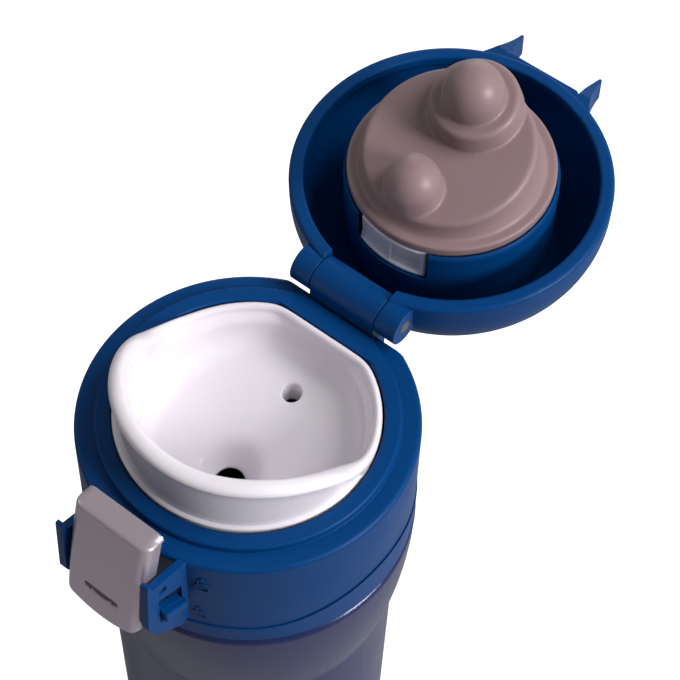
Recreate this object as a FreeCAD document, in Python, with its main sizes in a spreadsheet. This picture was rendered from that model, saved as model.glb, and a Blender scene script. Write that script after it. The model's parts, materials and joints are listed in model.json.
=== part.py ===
"""One-touch vacuum mug with a flip-up lid: every piece a solid of its own.

Frame: +Z up, origin at the centre of the base, the latch on -Y, the hinge on +Y.
Millimetres. The lid stands open, as the mug is used; it is drawn shut and then swung.
"""
import FreeCAD, Part
import math
import os
import Sketcher
from FreeCAD import Placement, Rotation, Vector

doc = FreeCAD.newDocument("flip_top_mug")
sheet = doc.addObject("Spreadsheet::Sheet", "Sizes")

SIZES = [
    ("collar_top", 222.0),        # height of the collar's top edge above the table
    ("collar_radius", 33.0),      # outside of the collar at its top
    ("collar_foot", 33.2),        # outside of the collar lower down
    ("collar_depth", 28.2),       # top edge of the collar to its lower rim
    ("step_radius", 29.2),        # raised ring around the mouthpiece
    ("step_rise", 1.56),
    ("bore_radius", 25.75),       # hole in the collar for the mouthpiece
    ("ledge_radius", 20.9),       # ledge the mouthpiece stands on
    ("ledge_depth", 15.8),
    ("ledge_thick", 1.8),
    ("band_radius", 33.45),       # trim band round the collar's foot
    ("band_inner", 31.45),
    ("band_seat", 31.2),
    ("shell_radius", 30.5),       # steel body
    ("shell_waist", 31.1),        # where the body starts to flare
    ("shell_shoulder", 33.65),
    ("shell_wall", 0.8),
    ("neck_radius", 23.5),        # steel neck, root of its thread
    ("neck_top", 19.5),           # neck rim below the collar's top edge
    ("mouth_radius", 20.8),       # inside of the steel neck
    ("liner_radius", 28.0),
    ("thread_pitch", 4.0),
    ("thread_height", 1.1),       # how far a thread stands proud
    ("thread_turns", 1.25),
    ("collar_thread_root", 25.1),
    ("hinge_back", 32.27),        # hinge axis behind the mug's axis
    ("hinge_rise", 4.65),         # hinge axis above the collar's top edge
    ("hinge_swing", 175.8),       # how far the lid opens
    ("hinge_flat", 29.5),         # flat on the back of the collar
    ("knuckle_radius", 4.0),
    ("knuckle_half", 7.75),        # half width of the middle knuckle
    ("knuckle_end", 12.7),        # half width of the whole hinge
    ("hinge_pin_radius", 1.45),
    ("pin_play", 0.05),           # radial clearance of a pin in its holes
    ("cheek_inner", 9.2),         # cheeks that carry the latch
    ("cheek_outer", 10.9),
    ("latch_front", 37.4),        # latch pin in front of the mug's axis
    ("latch_drop", 1.5),          # latch pin below the collar's top edge
    ("latch_pin_radius", 1.0),
    ("button_half", 8.7),
    ("lid_radius", 32.7),
    ("lid_height", 21.0),
    ("lid_corner", 16.5),         # round between the lid's side and top
    ("lid_lip", 3.0),             # thickness of the lid at its rim
    ("lid_wall", 1.7),
    ("boss_radius", 20.4),        # tube in the lid that carries the gasket
    ("closed_gap", 0.35),         # room between the shut lid's horns and the cheeks
    ("gasket_radius", 21.0),
    ("plateau_radius", 17.4),
    ("plateau_slope", 12.3),      # tilt of the gasket face and of the bowl floor
    ("dome_radius", 6.1),
    ("low_dome_radius", 5.75),
    ("lip_radius", 25.9),         # mouthpiece at its drinking lip
    ("cup_chord", 23.1),          # flat on the back of the mouthpiece
    ("floor_drop", 12.8),         # bowl floor below the collar's top edge, on the axis
    ("floor_thick", 1.8),
    ("vent_radius", 1.95),
    ("vent_back", 13.3),
    ("drink_radius", 3.6),
    ("drink_front", 6.3),
    ("well_radius", 6.2),
]
for row, (name, value) in enumerate(SIZES, start=1):
    sheet.set(f"A{row}", name)
    sheet.set(f"B{row}", str(value))
    sheet.setAlias(f"B{row}", name)
doc.recompute()


class Size:
    """A length that knows its number and the spreadsheet formula behind it."""

    def __init__(self, value, formula):
        self.value = value
        self.formula = formula

    def join(self, other, sign, value):
        text = other.formula if isinstance(other, Size) else repr(float(other))
        return Size(value, f"({self.formula} {sign} {text})")

    def __add__(self, other):
        return self.join(other, "+", self.value + number(other))

    def __sub__(self, other):
        return self.join(other, "-", self.value - number(other))

    def __mul__(self, other):
        return self.join(other, "*", self.value * number(other))

    def __neg__(self):
        return self * -1.0


def number(length):
    return length.value if isinstance(length, Size) else float(length)


def size(name):
    return Size(float(sheet.get(name)), f"Sizes.{name}")


TOP = size("collar_top")


def below(depth):
    """Height of a point that lies depth under the collar's top edge."""
    return TOP - depth


# --- drawing helpers ---------------------------------------------------------

def bind(thing, prop, length):
    """Give a property its formula, or its plain number."""
    thing.setExpression(prop, length.formula if isinstance(length, Size) else repr(float(length)))


def hold(sketch, geometry, position, across, along):
    """Hold a sketch point at its place, by formula where there is one."""
    for kind, length in (("DistanceX", across), ("DistanceY", along)):
        mark = sketch.addConstraint(
            Sketcher.Constraint(kind, -1, 1, geometry, position, number(length)))
        if isinstance(length, Size):
            sketch.setExpression(f"Constraints[{mark}]", length.formula)


def outline(body, name, plane, points, offset=0.0):
    """Closed sketch on one of the body's own planes.

    A point is (across, along); (across, along, via_across, via_along) is reached by an arc.
    """
    sketch = body.newObject("Sketcher::SketchObject", name)
    flat = [f for f in body.Origin.OriginFeatures if f.Role == plane][0]
    sketch.AttachmentSupport = [(flat, "")]
    sketch.MapMode = "FlatFace"
    bind(sketch, "AttachmentOffset.Base.z", offset)
    count = len(points)
    corners = [Vector(number(p[0]), number(p[1]), 0) for p in points]
    ends = []
    for i, corner in enumerate(corners):
        target = points[(i + 1) % count]
        far = corners[(i + 1) % count]
        if len(target) == 4:
            via = Vector(number(target[2]), number(target[3]), 0)
            sketch.addGeometry(Part.Arc(corner, via, far), False)
        else:
            sketch.addGeometry(Part.LineSegment(corner, far), False)
        starts_here = (sketch.getPoint(i, 1) - corner).Length < 1e-6
        ends.append((1, 2) if starts_here else (2, 1))
    for i in range(count):
        follower = (i + 1) % count
        sketch.addConstraint(Sketcher.Constraint(
            "Coincident", i, ends[i][1], follower, ends[follower][0]))
        hold(sketch, i, ends[i][0], points[i][0], points[i][1])
        target = points[follower]
        if len(target) == 4:
            via = Part.Point(Vector(number(target[2]), number(target[3]), 0))
            mark = sketch.addGeometry(via, True)
            hold(sketch, mark, 1, target[2], target[3])
            sketch.addConstraint(Sketcher.Constraint("PointOnObject", mark, 1, i))
    sketch.Visibility = False
    return sketch


def turned(name, points):
    """Piece turned on a lathe: (radius, height) outline about the mug's axis."""
    body = doc.addObject("PartDesign::Body", name)
    sketch = outline(body, name + "_profile", "XZ_Plane", points)
    spin = body.newObject("PartDesign::Revolution", name + "_spin")
    spin.Profile = sketch
    spin.ReferenceAxis = (sketch, ["V_Axis"])
    spin.Angle = 360.0
    return body


def prism(name, plane, points, low, high):
    """Straight bar of an outline, from low to high along the plane's axis."""
    body = doc.addObject("PartDesign::Body", name)
    # The XZ plane looks along -Y, so a bar along Y is drawn from its far end.
    start = high * -1 if plane == "XZ_Plane" else low
    pad = body.newObject("PartDesign::Pad", name + "_pad")
    pad.Profile = outline(body, name + "_profile", plane, points, start)
    bind(pad, "Length", high - low)
    return body


def rod(name, radius, start, direction, length):
    """Round bar from a start point."""
    bar = doc.addObject("Part::Cylinder", name)
    bind(bar, "Radius", radius)
    bind(bar, "Height", length)
    turn = Rotation(Vector(0, 0, 1), Vector(*direction))
    bar.Placement = Placement(Vector(*[number(c) for c in start]), turn)
    return bar


def block(name, low, high):
    """Box between two corners."""
    box = doc.addObject("Part::Box", name)
    for side, a, b in zip(("Length", "Width", "Height"), low, high):
        setattr(box, side, number(b) - number(a))
    box.Placement.Base = Vector(*[number(c) for c in low])
    return box


def combine(kind, name, pieces):
    """Fuse or Common of several pieces."""
    both = doc.addObject(f"Part::Multi{kind}", name)
    both.Shapes = pieces
    both.Refine = False
    return both


def cut(name, base, tool):
    less = doc.addObject("Part::Cut", name)
    less.Base = base
    less.Tool = tool
    less.Refine = False
    return less


def solid(name, shape):
    """Piece whose shape is worked out here, where no feature fits."""
    feature = doc.addObject("Part::Feature", name)
    feature.Shape = shape
    return feature


def rounded(name, base, radius, wanted):
    """Round the edges of base for which wanted(edge) holds."""
    doc.recompute()
    picked = [(i, radius, radius) for i, e in enumerate(base.Shape.Edges, start=1) if wanted(e)]
    fillet = doc.addObject("Part::Fillet", name)
    fillet.Base = base
    fillet.Edges = picked
    return fillet


NODES = []


def node(name, piece, moved=None):
    """Keep a finished piece under the name of its node."""
    piece.Label = name
    if moved is not None:
        piece.Placement = moved.multiply(piece.Placement)
    NODES.append(piece)
    return piece


THREAD_TURN = 40.0            # where the threads begin, in degrees round from +X


def helix_ridge(root, tip, base_width, tip_width, start, turns, pitch):
    """Thread ridge between two radii; tip may lie inside root for an inner thread."""
    helix = Part.makeHelix(pitch, pitch * turns, (root + tip) / 2.0)
    path = Part.Wire(helix.Edges)
    corners = [(root, -base_width), (tip, -tip_width), (tip, tip_width), (root, base_width)]
    points = [Vector(r, 0, z / 2.0) for r, z in corners]
    section = Part.makePolygon(points + points[:1])
    ridge = path.makePipeShell([section], True, True)
    ridge.rotate(Vector(0, 0, 0), Vector(0, 0, 1), THREAD_TURN)
    ridge.translate(Vector(0, 0, start))
    return ridge


# --- steel flask -------------------------------------------------------------

wall = size("shell_wall")
shell = size("shell_radius")
neck = size("neck_radius")
shoulder = below(28.8)
outer_turned = turned("outer_shell_turned", [
    (shell - 1.2, 3.0),
    (shell, 4.6, shell - 0.35, 3.45),
    (shell, below(60.0)),
    (size("shell_waist"), below(57.6)),
    (size("shell_shoulder"), below(30.2), size("shell_waist") + 1.75, below(45.4)),
    (size("shell_shoulder") - 1.4, shoulder, size("shell_shoulder") - 0.41, below(29.21)),
    (neck + 0.6, shoulder),
    (neck, shoulder + 0.6),
    (neck, below(size("neck_top"))),
    (neck - wall, below(size("neck_top"))),
    (neck - wall, shoulder - wall),
    (size("shell_shoulder") - 2.0, shoulder - wall),
    (size("shell_shoulder") - wall, below(30.8)),
    (size("shell_waist") - wall, below(57.4), size("shell_waist") + 0.95, below(45.8)),
    (shell - wall, below(60.2)),
    (shell - wall, 5.0),
    (shell - 1.2 - wall, 3.4),
])
PITCH = number(size("thread_pitch"))
TURNS = number(size("thread_turns"))
NECK = number(neck)
RIDGE = number(size("thread_height"))
thread_start = number(shoulder) + 3.4
neck_ridge = solid("neck_thread", helix_ridge(
    NECK - 0.2, NECK + RIDGE, 1.5, 0.9, thread_start, TURNS, PITCH))
node("outer_shell", combine("Fuse", "outer_shell_solid", [outer_turned, neck_ridge]))

mouth = size("mouth_radius")
liner = size("liner_radius")
node("inner_liner", turned("inner_liner_body", [
    (0.0, 13.0),
    (liner - 8.0, 13.4),
    (liner, 22.0, liner - 1.9, 15.6),
    (liner, below(44.0)),
    (mouth + wall, below(34.0), liner - 1.2, below(37.2)),
    (mouth + wall, below(size("neck_top") + wall)),
    (neck - wall, below(size("neck_top") + wall)),
    (neck - wall, below(size("neck_top"))),
    (mouth + 0.5, below(size("neck_top"))),
    (mouth, below(size("neck_top") + 0.5), mouth + 0.15, below(size("neck_top") + 0.15)),
    (mouth, below(34.4)),
    (liner - wall, below(44.4), liner - 2.0, below(37.9)),
    (liner - wall, 22.0),
    (liner - 8.0, 14.2, liner - 2.5, 16.2),
    (0.0, 13.8),
]))
node("vacuum_end_plate", turned("vacuum_end_plate_body", [
    (0.0, 6.8), (shell - 6.0, 6.8), (shell - wall, 5.9), (shell - wall, 5.1),
    (shell - 6.0, 6.0), (0.0, 6.0)]))
node("getter_disc", turned("getter_disc_body", [
    (0.0, 6.8), (6.0, 6.8), (6.0, 7.8), (5.4, 8.4), (0.0, 8.4)]))
node("vacuum_port_seal", turned("vacuum_port_seal_body", [
    (0.0, 5.0), (3.6, 5.0), (4.0, 5.4), (4.0, 6.0), (0.0, 6.0)]))
node("base_cap", turned("base_cap_body", [
    (0.0, 0.0), (26.6, 0.0), (27.6, 0.5), (28.4, 2.2), (28.4, 3.6),
    (26.0, 4.4), (25.0, 4.4), (25.0, 2.2), (0.0, 2.2)]))

# --- collar ------------------------------------------------------------------

collar = size("collar_radius")
foot = size("collar_foot")
ledge = size("ledge_depth")
bore = size("bore_radius")
step = size("step_radius")
depth = size("collar_depth")
inner_root = size("collar_thread_root")
collar_turned = turned("collar_turned", [
    (inner_root, below(depth)),
    (inner_root + 2.2, below(depth)),
    (inner_root + 2.2, below(19.6)),
    (size("band_seat") - 1.8, below(19.6)),
    (size("band_seat") - 1.8, below(depth)),
    (foot, below(depth)),
    (foot, below(18.0)),
    (collar, below(1.0)),
    (collar - 1.0, TOP, collar - 0.29, below(0.29)),
    (step, TOP),
    (step - 0.1, TOP + size("step_rise") - 0.5),
    (step - 0.6, TOP + size("step_rise"), step - 0.25, TOP + size("step_rise") - 0.15),
    (bore + 0.4, TOP + size("step_rise")),
    (bore, TOP + size("step_rise") - 0.4),
    (bore, below(ledge)),
    (size("ledge_radius"), below(ledge)),
    (size("ledge_radius"), below(ledge + size("ledge_thick"))),
    (inner_root, below(ledge + size("ledge_thick"))),
])


def wave(name, gap):
    """Everything below the arched top edge of the trim band, lowered by gap."""
    crest = below(17.7 + gap)
    trough = below(23.2 + gap)
    bend = below(21.8 + gap)
    return prism(name, "XZ_Plane", [
        (-20.5, trough, -28.6, bend), (20.5, trough), (35.0, crest, 28.6, bend),
        (35.0, below(32.0)), (-35.0, below(32.0)), (-35.0, crest)], -40.0, 40.0)


def ring(name, inner, outer, low, high):
    return turned(name, [(inner, low), (outer, low), (outer, high), (inner, high)])


hinge_y = size("hinge_back")
hinge_z = TOP + size("hinge_rise")
knuckle = size("knuckle_radius")
half = size("knuckle_half")
pin_hole = size("hinge_pin_radius") + size("pin_play")
latch_y = -size("latch_front")
latch_z = below(size("latch_drop"))
cheek_in = size("cheek_inner")
cheek_out = size("cheek_outer")

# The band's seat is turned out of the collar below the arched edge.
seat = combine("Common", "band_seat_cut", [
    ring("band_seat_ring", size("band_seat"), 38.0, below(32.0), below(10.0)),
    wave("band_seat_wave", -0.35)])
# Flat across the back, with the step ring cut back for the swinging knuckles.
back_flat = block("back_flat_cut", (-14.8, size("hinge_flat"), below(9.0)), (14.8, 40.0, TOP + 3.0))
step_flat = block("step_flat_cut", (-14.4, 27.8, TOP), (14.4, 40.0, TOP + 3.0))
collar_shape = cut("collar_trimmed", collar_turned,
                   combine("Fuse", "collar_cuts", [seat, back_flat, step_flat]))
# The hole is flat at the back, as the mouthpiece is.
chord = size("cup_chord")
hole_flat = combine("Common", "hole_flat", [
    ring("hole_flat_disc", 0.0, bore + 0.3, below(ledge), TOP + size("step_rise") - 0.02),
    block("hole_flat_bar", (-14.0, chord + 0.3, below(20.0)), (14.0, 30.0, TOP + 2.0))])
web = block("knuckle_web", (-half, 28.4, below(8.0)), (half, hinge_y + 0.6, hinge_z))
barrel = rod("knuckle_barrel", knuckle, (-half, hinge_y, hinge_z), (1, 0, 0), half * 2)


CHEEK_BACK = (-30.2, -0.6)    # the cheeks' top line, where the lid's horns come down: y, height
CHEEK_FRONT = (-39.9, 2.2)


def cheek(name, low, high):
    """One of the two ears that carry the latch pin, with a post in front of the lid's horn."""
    return prism(name, "YZ_Plane", [
        (CHEEK_BACK[0], TOP + CHEEK_BACK[1]), (CHEEK_FRONT[0], TOP + CHEEK_FRONT[1]),
        (-40.2, TOP + 4.3), (-41.1, TOP + 4.1, -40.8, TOP + 4.5),
        (-42.0, below(10.3)), (-39.9, below(15.4)), (-33.6, below(21.8)), (-30.2, below(21.8)),
    ], low, high)


right_cheek = cheek("right_cheek", cheek_in, cheek_out)
left_cheek = cheek("left_cheek", cheek_out * -1, cheek_in * -1)
inner_ridge = solid("collar_thread", helix_ridge(
    number(inner_root) + 0.2, number(inner_root) - RIDGE, 1.5, 0.9,
    thread_start - PITCH / 2.0, TURNS, PITCH))
collar_backed = combine("Fuse", "collar_backed", [collar_shape, hole_flat, web, barrel])
collar_eared = combine("Fuse", "collar_eared", [collar_backed, right_cheek, left_cheek])
collar_whole = combine("Fuse", "collar_whole", [collar_eared, inner_ridge])
# The lock's window slopes with the cheek, and is taller than the slider by its travel.
window = prism("lock_window", "YZ_Plane", [
    (-38.7, below(3.6)), (-32.7, below(6.7)), (-32.7, below(15.4)), (-38.7, below(12.3))],
    cheek_in - 0.4, cheek_out + 0.4)
spring_room = rod("spring_room", 2.9, (-5.4, hinge_y, hinge_z), (1, 0, 0), 10.8)
collar_holes = combine("Fuse", "collar_holes", [
    rod("hinge_hole", pin_hole, (-20.0, hinge_y, hinge_z), (1, 0, 0), 40.0),
    rod("latch_hole", size("latch_pin_radius") + size("pin_play"),
        (-12.0, latch_y, latch_z), (1, 0, 0), 24.0),
    rod("latch_spring_seat", 2.5, (0.0, -34.0, below(9.6)), (0, 1, 0), 2.6),
    spring_room, window])
node("collar_housing", cut("collar_solid", collar_whole, collar_holes))

band_wave = wave("band_wave", 0.0)
band_ring = turned("band_ring", [
    (size("band_inner"), below(depth)), (size("band_radius") - 0.4, below(depth)),
    (size("band_radius"), below(depth - 0.4)), (size("band_radius"), below(10.0)),
    (size("band_inner"), below(10.0))])
node("collar_band", combine("Common", "band_solid", [band_ring, band_wave]))

# --- mouthpiece --------------------------------------------------------------

cup = size("lip_radius")
FLOOR_SLOPE = math.tan(math.radians(number(size("plateau_slope")) + 0.2))
floor_z = size("floor_drop")


def floor_line(y, lower=0.0):
    """Height of the sloping bowl floor at y, or of a line that lies lower."""
    return below(floor_z + lower - y * FLOOR_SLOPE)


cup_turned = turned("cup_turned", [
    (0.0, below(19.4)), (19.0, below(19.4)), (20.4, below(18.0)), (20.4, below(ledge - 0.15)),
    (bore - 0.35, below(ledge - 0.15)), (bore - 0.35, TOP + 4.0),
    (cup, TOP + 11.0, bore - 0.15, TOP + 8.0), (cup, TOP + 18.0), (0.0, TOP + 18.0)])
skirt = ring("cup_skirt", 18.2, 19.5, below(24.0), below(19.0))
well_boss = rod("well_boss", size("well_radius") + 1.6,
                (0.0, -size("drink_front"), below(21.2)), (0, 0, 1), 6.0)
cup_body = combine("Fuse", "cup_body", [cup_turned, skirt, well_boss])
hollow_round = turned("hollow_round", [
    (0.0, below(24.0)), (17.6, below(24.0)), (18.4, below(16.5)), (20.2, below(12.0), 19.5, below(14.6)),
    (22.2, below(2.0), 21.6, below(7.5)), (cup - 3.0, TOP + 9.0), (cup - 3.0, TOP + 19.0),
    (0.0, TOP + 19.0)])
above_floor = prism("above_floor", "YZ_Plane", [
    (-30.0, floor_line(-30.0)), (chord - 2.0, floor_line(21.1)), (chord - 2.0, TOP + 20.0),
    (-30.0, TOP + 20.0)], -30.0, 30.0)
hollow = combine("Common", "bowl_hollow", [hollow_round, above_floor])
under_round = ring("under_round", 0.0, 17.8, below(25.0), TOP)
under_floor = prism("under_floor", "YZ_Plane", [
    (-30.0, below(30.0)), (30.0, below(30.0)), (30.0, floor_line(30.0, size("floor_thick"))),
    (-30.0, floor_line(-30.0, size("floor_thick")))], -30.0, 30.0)
under_solid = combine("Common", "under_hollow_block", [under_round, under_floor])
under = cut("under_hollow", under_solid, rod(
    "well_boss_room", size("well_radius") + 1.6, (0.0, -size("drink_front"), below(21.2)),
    (0, 0, 1), 8.0))
# The rim is low and level behind, climbs past the middle and rolls over at the lip.
over_rim = prism("over_rim", "YZ_Plane", [
    (30.0, TOP + 2.0), (30.0, TOP + 30.0), (-32.0, TOP + 30.0), (-32.0, TOP + 15.6),
    (-25.0, TOP + 15.1), (-6.0, TOP + 8.8, -15.1, TOP + 13.0), (0.2, TOP + 5.0),
    (11.0, TOP + 2.0, 5.4, TOP + 2.76)], -30.0, 30.0)
chord_cut = block("cup_chord_cut", (-20.0, chord, below(ledge)), (20.0, 30.0, TOP + 20.0))
drink_y = -size("drink_front")
well = turned("well_turned", [
    (0.0, below(30.0)), (size("drink_radius"), below(30.0)), (size("drink_radius"), below(19.3)),
    (size("well_radius") - 0.4, below(18.0)), (size("well_radius"), below(17.4)),
    (size("well_radius"), below(10.0)), (0.0, below(10.0))])
well.Placement.Base = Vector(0, number(drink_y), 0)
vent = rod("vent_hole", size("vent_radius"), (0.0, size("vent_back"), below(14.0)), (0, 0, 1), 8.0)
cup_cuts = combine("Fuse", "cup_cuts", [hollow, over_rim, chord_cut, well, vent, under])
node("mouthpiece", cut("mouthpiece_solid", cup_body, cup_cuts))
node("mouthpiece_seal", turned("mouthpiece_seal_body", [
    (19.5, below(23.6)), (20.0, below(23.6)), (20.45, below(22.9)), (20.0, below(22.2)),
    (20.45, below(21.5)), (20.0, below(20.8)), (20.0, below(20.4)), (19.5, below(20.4))]))
node("neck_seal", turned("neck_seal_body", [
    (21.3, below(19.3)), (23.3, below(19.3)), (23.5, below(18.6)), (23.3, below(17.9)),
    (21.3, below(17.9))]))

# --- hinge and latch pins ----------------------------------------------------

end = size("knuckle_end")
node("hinge_pin", rod("hinge_pin_body", size("hinge_pin_radius"),
                      (-end, hinge_y, hinge_z), (1, 0, 0), end * 2))
node("latch_pin", rod("latch_pin_body", size("latch_pin_radius"),
                      (-10.4, latch_y, latch_z), (1, 0, 0), 20.8))


def coil(radius, wire, length, turns):
    """Coil spring along +Z from the origin."""
    helix = Part.makeHelix(length / turns, length, radius)
    path = Part.Wire(helix.Edges)
    section = Part.Wire(Part.makeCircle(wire, Vector(radius, 0, 0), Vector(0, 1, 0)))
    return path.makePipeShell([section], True, True)


hinge_coil = solid("hinge_spring_body", coil(2.1, 0.3, 9.6, 6.0))
hinge_coil.Placement = Placement(
    Vector(-4.8, number(hinge_y), number(hinge_z)), Rotation(Vector(0, 1, 0), 90.0))
node("hinge_spring", hinge_coil)
latch_coil = solid("latch_spring_body", coil(1.9, 0.25, 7.0, 5.0))
latch_coil.Placement = Placement(
    Vector(0.0, -32.0, number(below(9.6))), Rotation(Vector(1, 0, 0), 90.0))
node("latch_spring", latch_coil)

# --- latch -------------------------------------------------------------------

lever_plate = prism("lever_plate", "YZ_Plane", [
    (-35.6, TOP + 8.8), (-37.0, TOP + 8.8), (-39.6, TOP + 0.5), (-41.2, below(9.0)),
    (-41.6, below(12.6)), (-40.4, below(12.6)), (-40.0, below(9.0)), (-39.2, below(5.0)),
    (-37.6, below(4.4)), (-35.6, below(3.2)), (-35.4, TOP + 1.0)], -6.9, 6.9)
lever_hook = prism("lever_hook", "YZ_Plane", [
    (-36.0, TOP + 4.4), (-31.5, TOP + 4.4), (-31.5, TOP + 5.4), (-32.7, TOP + 6.6),
    (-36.0, TOP + 6.6)], -4.0, 4.0)
lever_body = combine("Fuse", "lever_body", [lever_plate, lever_hook])
lever_hole = rod("lever_hole", size("latch_pin_radius") + size("pin_play"),
                 (-12.0, latch_y, latch_z), (1, 0, 0), 24.0)
node("latch_lever", cut("lever_solid", lever_body, lever_hole))

wide = size("button_half")
button_block = prism("button_block", "YZ_Plane", [
    (-33.6, TOP + 11.0), (-38.1, TOP + 11.0), (-43.9, below(16.0), -42.0, below(2.5)),
    (-41.9, below(16.0)), (-41.2, below(9.0)), (-37.2, below(2.6)),
    (-35.4, TOP + 1.0), (-35.4, TOP + 9.6), (-33.6, TOP + 9.6)], -wide, wide)


def on_face_edge(edge):
    """Long side edges of the button's face, and its top edge."""
    box = edge.BoundBox
    side = box.XLength < 0.01 and box.ZLength > 20.0
    top = box.XLength > 10.0 and abs(box.YMin + 38.1) < 0.05
    return side or top


button_round = rounded("button_round", button_block, 1.1, on_face_edge)
button_inside = prism("button_inside", "YZ_Plane", [
    (-30.0, TOP + 9.5), (-37.0, TOP + 9.5), (-43.0, below(20.0), -41.0, below(4.0)),
    (-30.0, below(20.0))], -7.3, 7.3)
# The lower edge of the button is one shallow arc, cut from the front.
button_foot = prism("button_foot", "XZ_Plane", [
    (-12.0, below(10.9)), (12.0, below(10.9), 0.0, below(15.0)), (12.0, below(20.0)),
    (-12.0, below(20.0))], -46.0, -30.0)
pin_room = rod("button_pin_room", 1.7, (-12.0, latch_y, latch_z), (1, 0, 0), 24.0)
mark = block("press_mark", (-3.6, -46.0, below(8.6)), (3.6, -43.0, below(7.8)))
button_cuts = combine("Fuse", "button_cuts", [button_inside, button_foot, pin_room, mark])
node("latch_button", cut("button_solid", button_round, button_cuts))

thumb = prism("lock_thumb", "YZ_Plane", [
    (-38.6, below(10.5)), (-32.8, below(13.6)), (-32.8, below(10.8)), (-38.6, below(7.7))],
    11.1, 12.5)
thumb_round = rounded("lock_thumb_round", thumb, 0.4, lambda e: e.BoundBox.XMin > 12.4)
lock_neck = prism("lock_neck", "YZ_Plane", [
    (-38.4, below(10.7)), (-33.0, below(13.5)), (-33.0, below(10.6)), (-38.4, below(7.8))],
    9.4, 11.2)
lock_tongue = block("lock_tongue", (9.0, -36.8, below(11.2)), (9.5, -34.6, below(10.2)))
node("lock_slider", combine("Fuse", "lock_solid", [thumb_round, lock_neck, lock_tongue]))

# --- lid, drawn shut and swung open ------------------------------------------

swing = Rotation(Vector(1, 0, 0), -number(size("hinge_swing")))
OPEN = Placement(Vector(0, 0, 0), swing, Vector(0, number(hinge_y), number(hinge_z)))

rim = size("lid_radius")
top_round = size("lid_corner")
crown = TOP + size("lid_height")
straight = crown - top_round
lip = size("lid_lip")
thin = size("lid_wall")
diagonal = math.sin(math.radians(45.0))
inner_round = top_round - thin
lid_turned = turned("lid_turned", [
    (rim, TOP + 1.2, rim - 0.28, TOP + 0.53), (rim, straight),
    (rim - top_round, crown, rim - top_round * (1 - diagonal), straight + top_round * diagonal),
    (0.0, crown + 0.4), (0.0, crown - thin), (rim - top_round, crown - thin),
    (rim - thin, straight, rim - top_round + inner_round * diagonal,
     straight + inner_round * diagonal),
    (rim - lip, TOP + 2.4), (rim - lip, TOP + 0.8),
    (rim - lip + 0.6, TOP + 0.25, rim - lip + 0.17, TOP + 0.41),
    (rim - 0.95, TOP + 0.25)])


def barrels(name, side):
    """Lid knuckle on one side of the middle one."""
    start = half + 0.25 if side > 0 else -end
    return rod(name, knuckle, (start, hinge_y, hinge_z), (1, 0, 0), end - half - 0.25)


def ear(name, side):
    """Thin horn that stands out beside the button; side is +1 or -1."""
    return prism(name, "XY_Plane", [
        (side * 9.0, -31.0), (side * 9.0, -34.6), (side * 9.5, -39.1),
        (side * 10.2, -39.2, side * 9.85, -39.5), (side * 13.2, -29.6, side * 11.1, -34.1)],
        TOP + 0.4, TOP + 8.0)


front_bar = prism("front_bar", "XY_Plane", [
    (-9.6, -31.6), (-8.2, -32.6), (8.2, -32.6), (9.6, -31.6), (9.6, -30.2), (-9.6, -30.2)],
    TOP + 0.4, TOP + 8.0)
lid_whole = combine("Fuse", "lid_whole", [
    lid_turned, barrels("lid_knuckle_right", 1), barrels("lid_knuckle_left", -1),
    ear("ear_right", 1), ear("ear_left", -1), front_bar])
# The horns and the bar between them end just above the cheeks' top line.
room = size("closed_gap")
cheek_room = prism("cheek_room", "YZ_Plane", [
    (CHEEK_BACK[0], TOP + room + CHEEK_BACK[1]), (CHEEK_FRONT[0], TOP + room + CHEEK_FRONT[1]),
    (-43.0, TOP + room + CHEEK_FRONT[1]), (-43.0, below(3.0)), (CHEEK_BACK[0], below(3.0))],
    -15.0, 15.0)
lid_cuts = combine("Fuse", "lid_cuts", [
    cheek_room,
    block("knuckle_notch", (-8.0, 27.2, TOP - 1.0), (8.0, 40.0, TOP + 9.4)),
    block("web_flat", (-8.0, 31.3, TOP + 9.0), (8.0, 40.0, TOP + 20.0)),
    block("catch_pocket", (-4.7, -34.0, TOP + 3.8), (4.7, -30.9, TOP + 7.4)),
    rod("lid_hinge_hole", pin_hole, (-20.0, hinge_y, hinge_z), (1, 0, 0), 40.0)])
node("lid_shell", cut("lid_solid", lid_whole, lid_cuts), OPEN)

boss = size("boss_radius")
boss_tube = turned("boss_tube", [
    (boss - 2.2, TOP + 1.8), (boss, TOP + 1.8), (boss, TOP + 18.6), (boss - 2.2, TOP + 19.0)])
lever_gap = block("lever_gap", (-8.5, 12.0, TOP + 1.0), (8.5, 24.0, TOP + 7.0))
node("gasket_boss", cut("boss_solid", boss_tube, lever_gap), OPEN)

carrier_disc = ring("carrier_disc", 0.0, boss - 2.4, TOP + 1.8, TOP + 3.4)
carrier_post = ring("carrier_post", 2.6, 4.4, TOP + 3.0, TOP + 19.2)
carrier_whole = combine("Fuse", "carrier_whole", [carrier_disc, carrier_post])
carrier_flat = block("carrier_flat", (-12.0, 15.6, TOP + 1.0), (12.0, 24.0, TOP + 5.0))
node("gasket_carrier", cut("carrier_solid", carrier_whole, carrier_flat), OPEN)

lever_arc = ring("release_arc", boss - 1.5, boss + 0.7, TOP + 2.2, TOP + 6.6)
lever_bar = block("release_bar", (-8.1, 10.0, TOP + 1.0), (8.1, 24.0, TOP + 8.0))
node("gasket_release_lever", combine("Common", "release_solid", [lever_arc, lever_bar]), OPEN)

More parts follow.
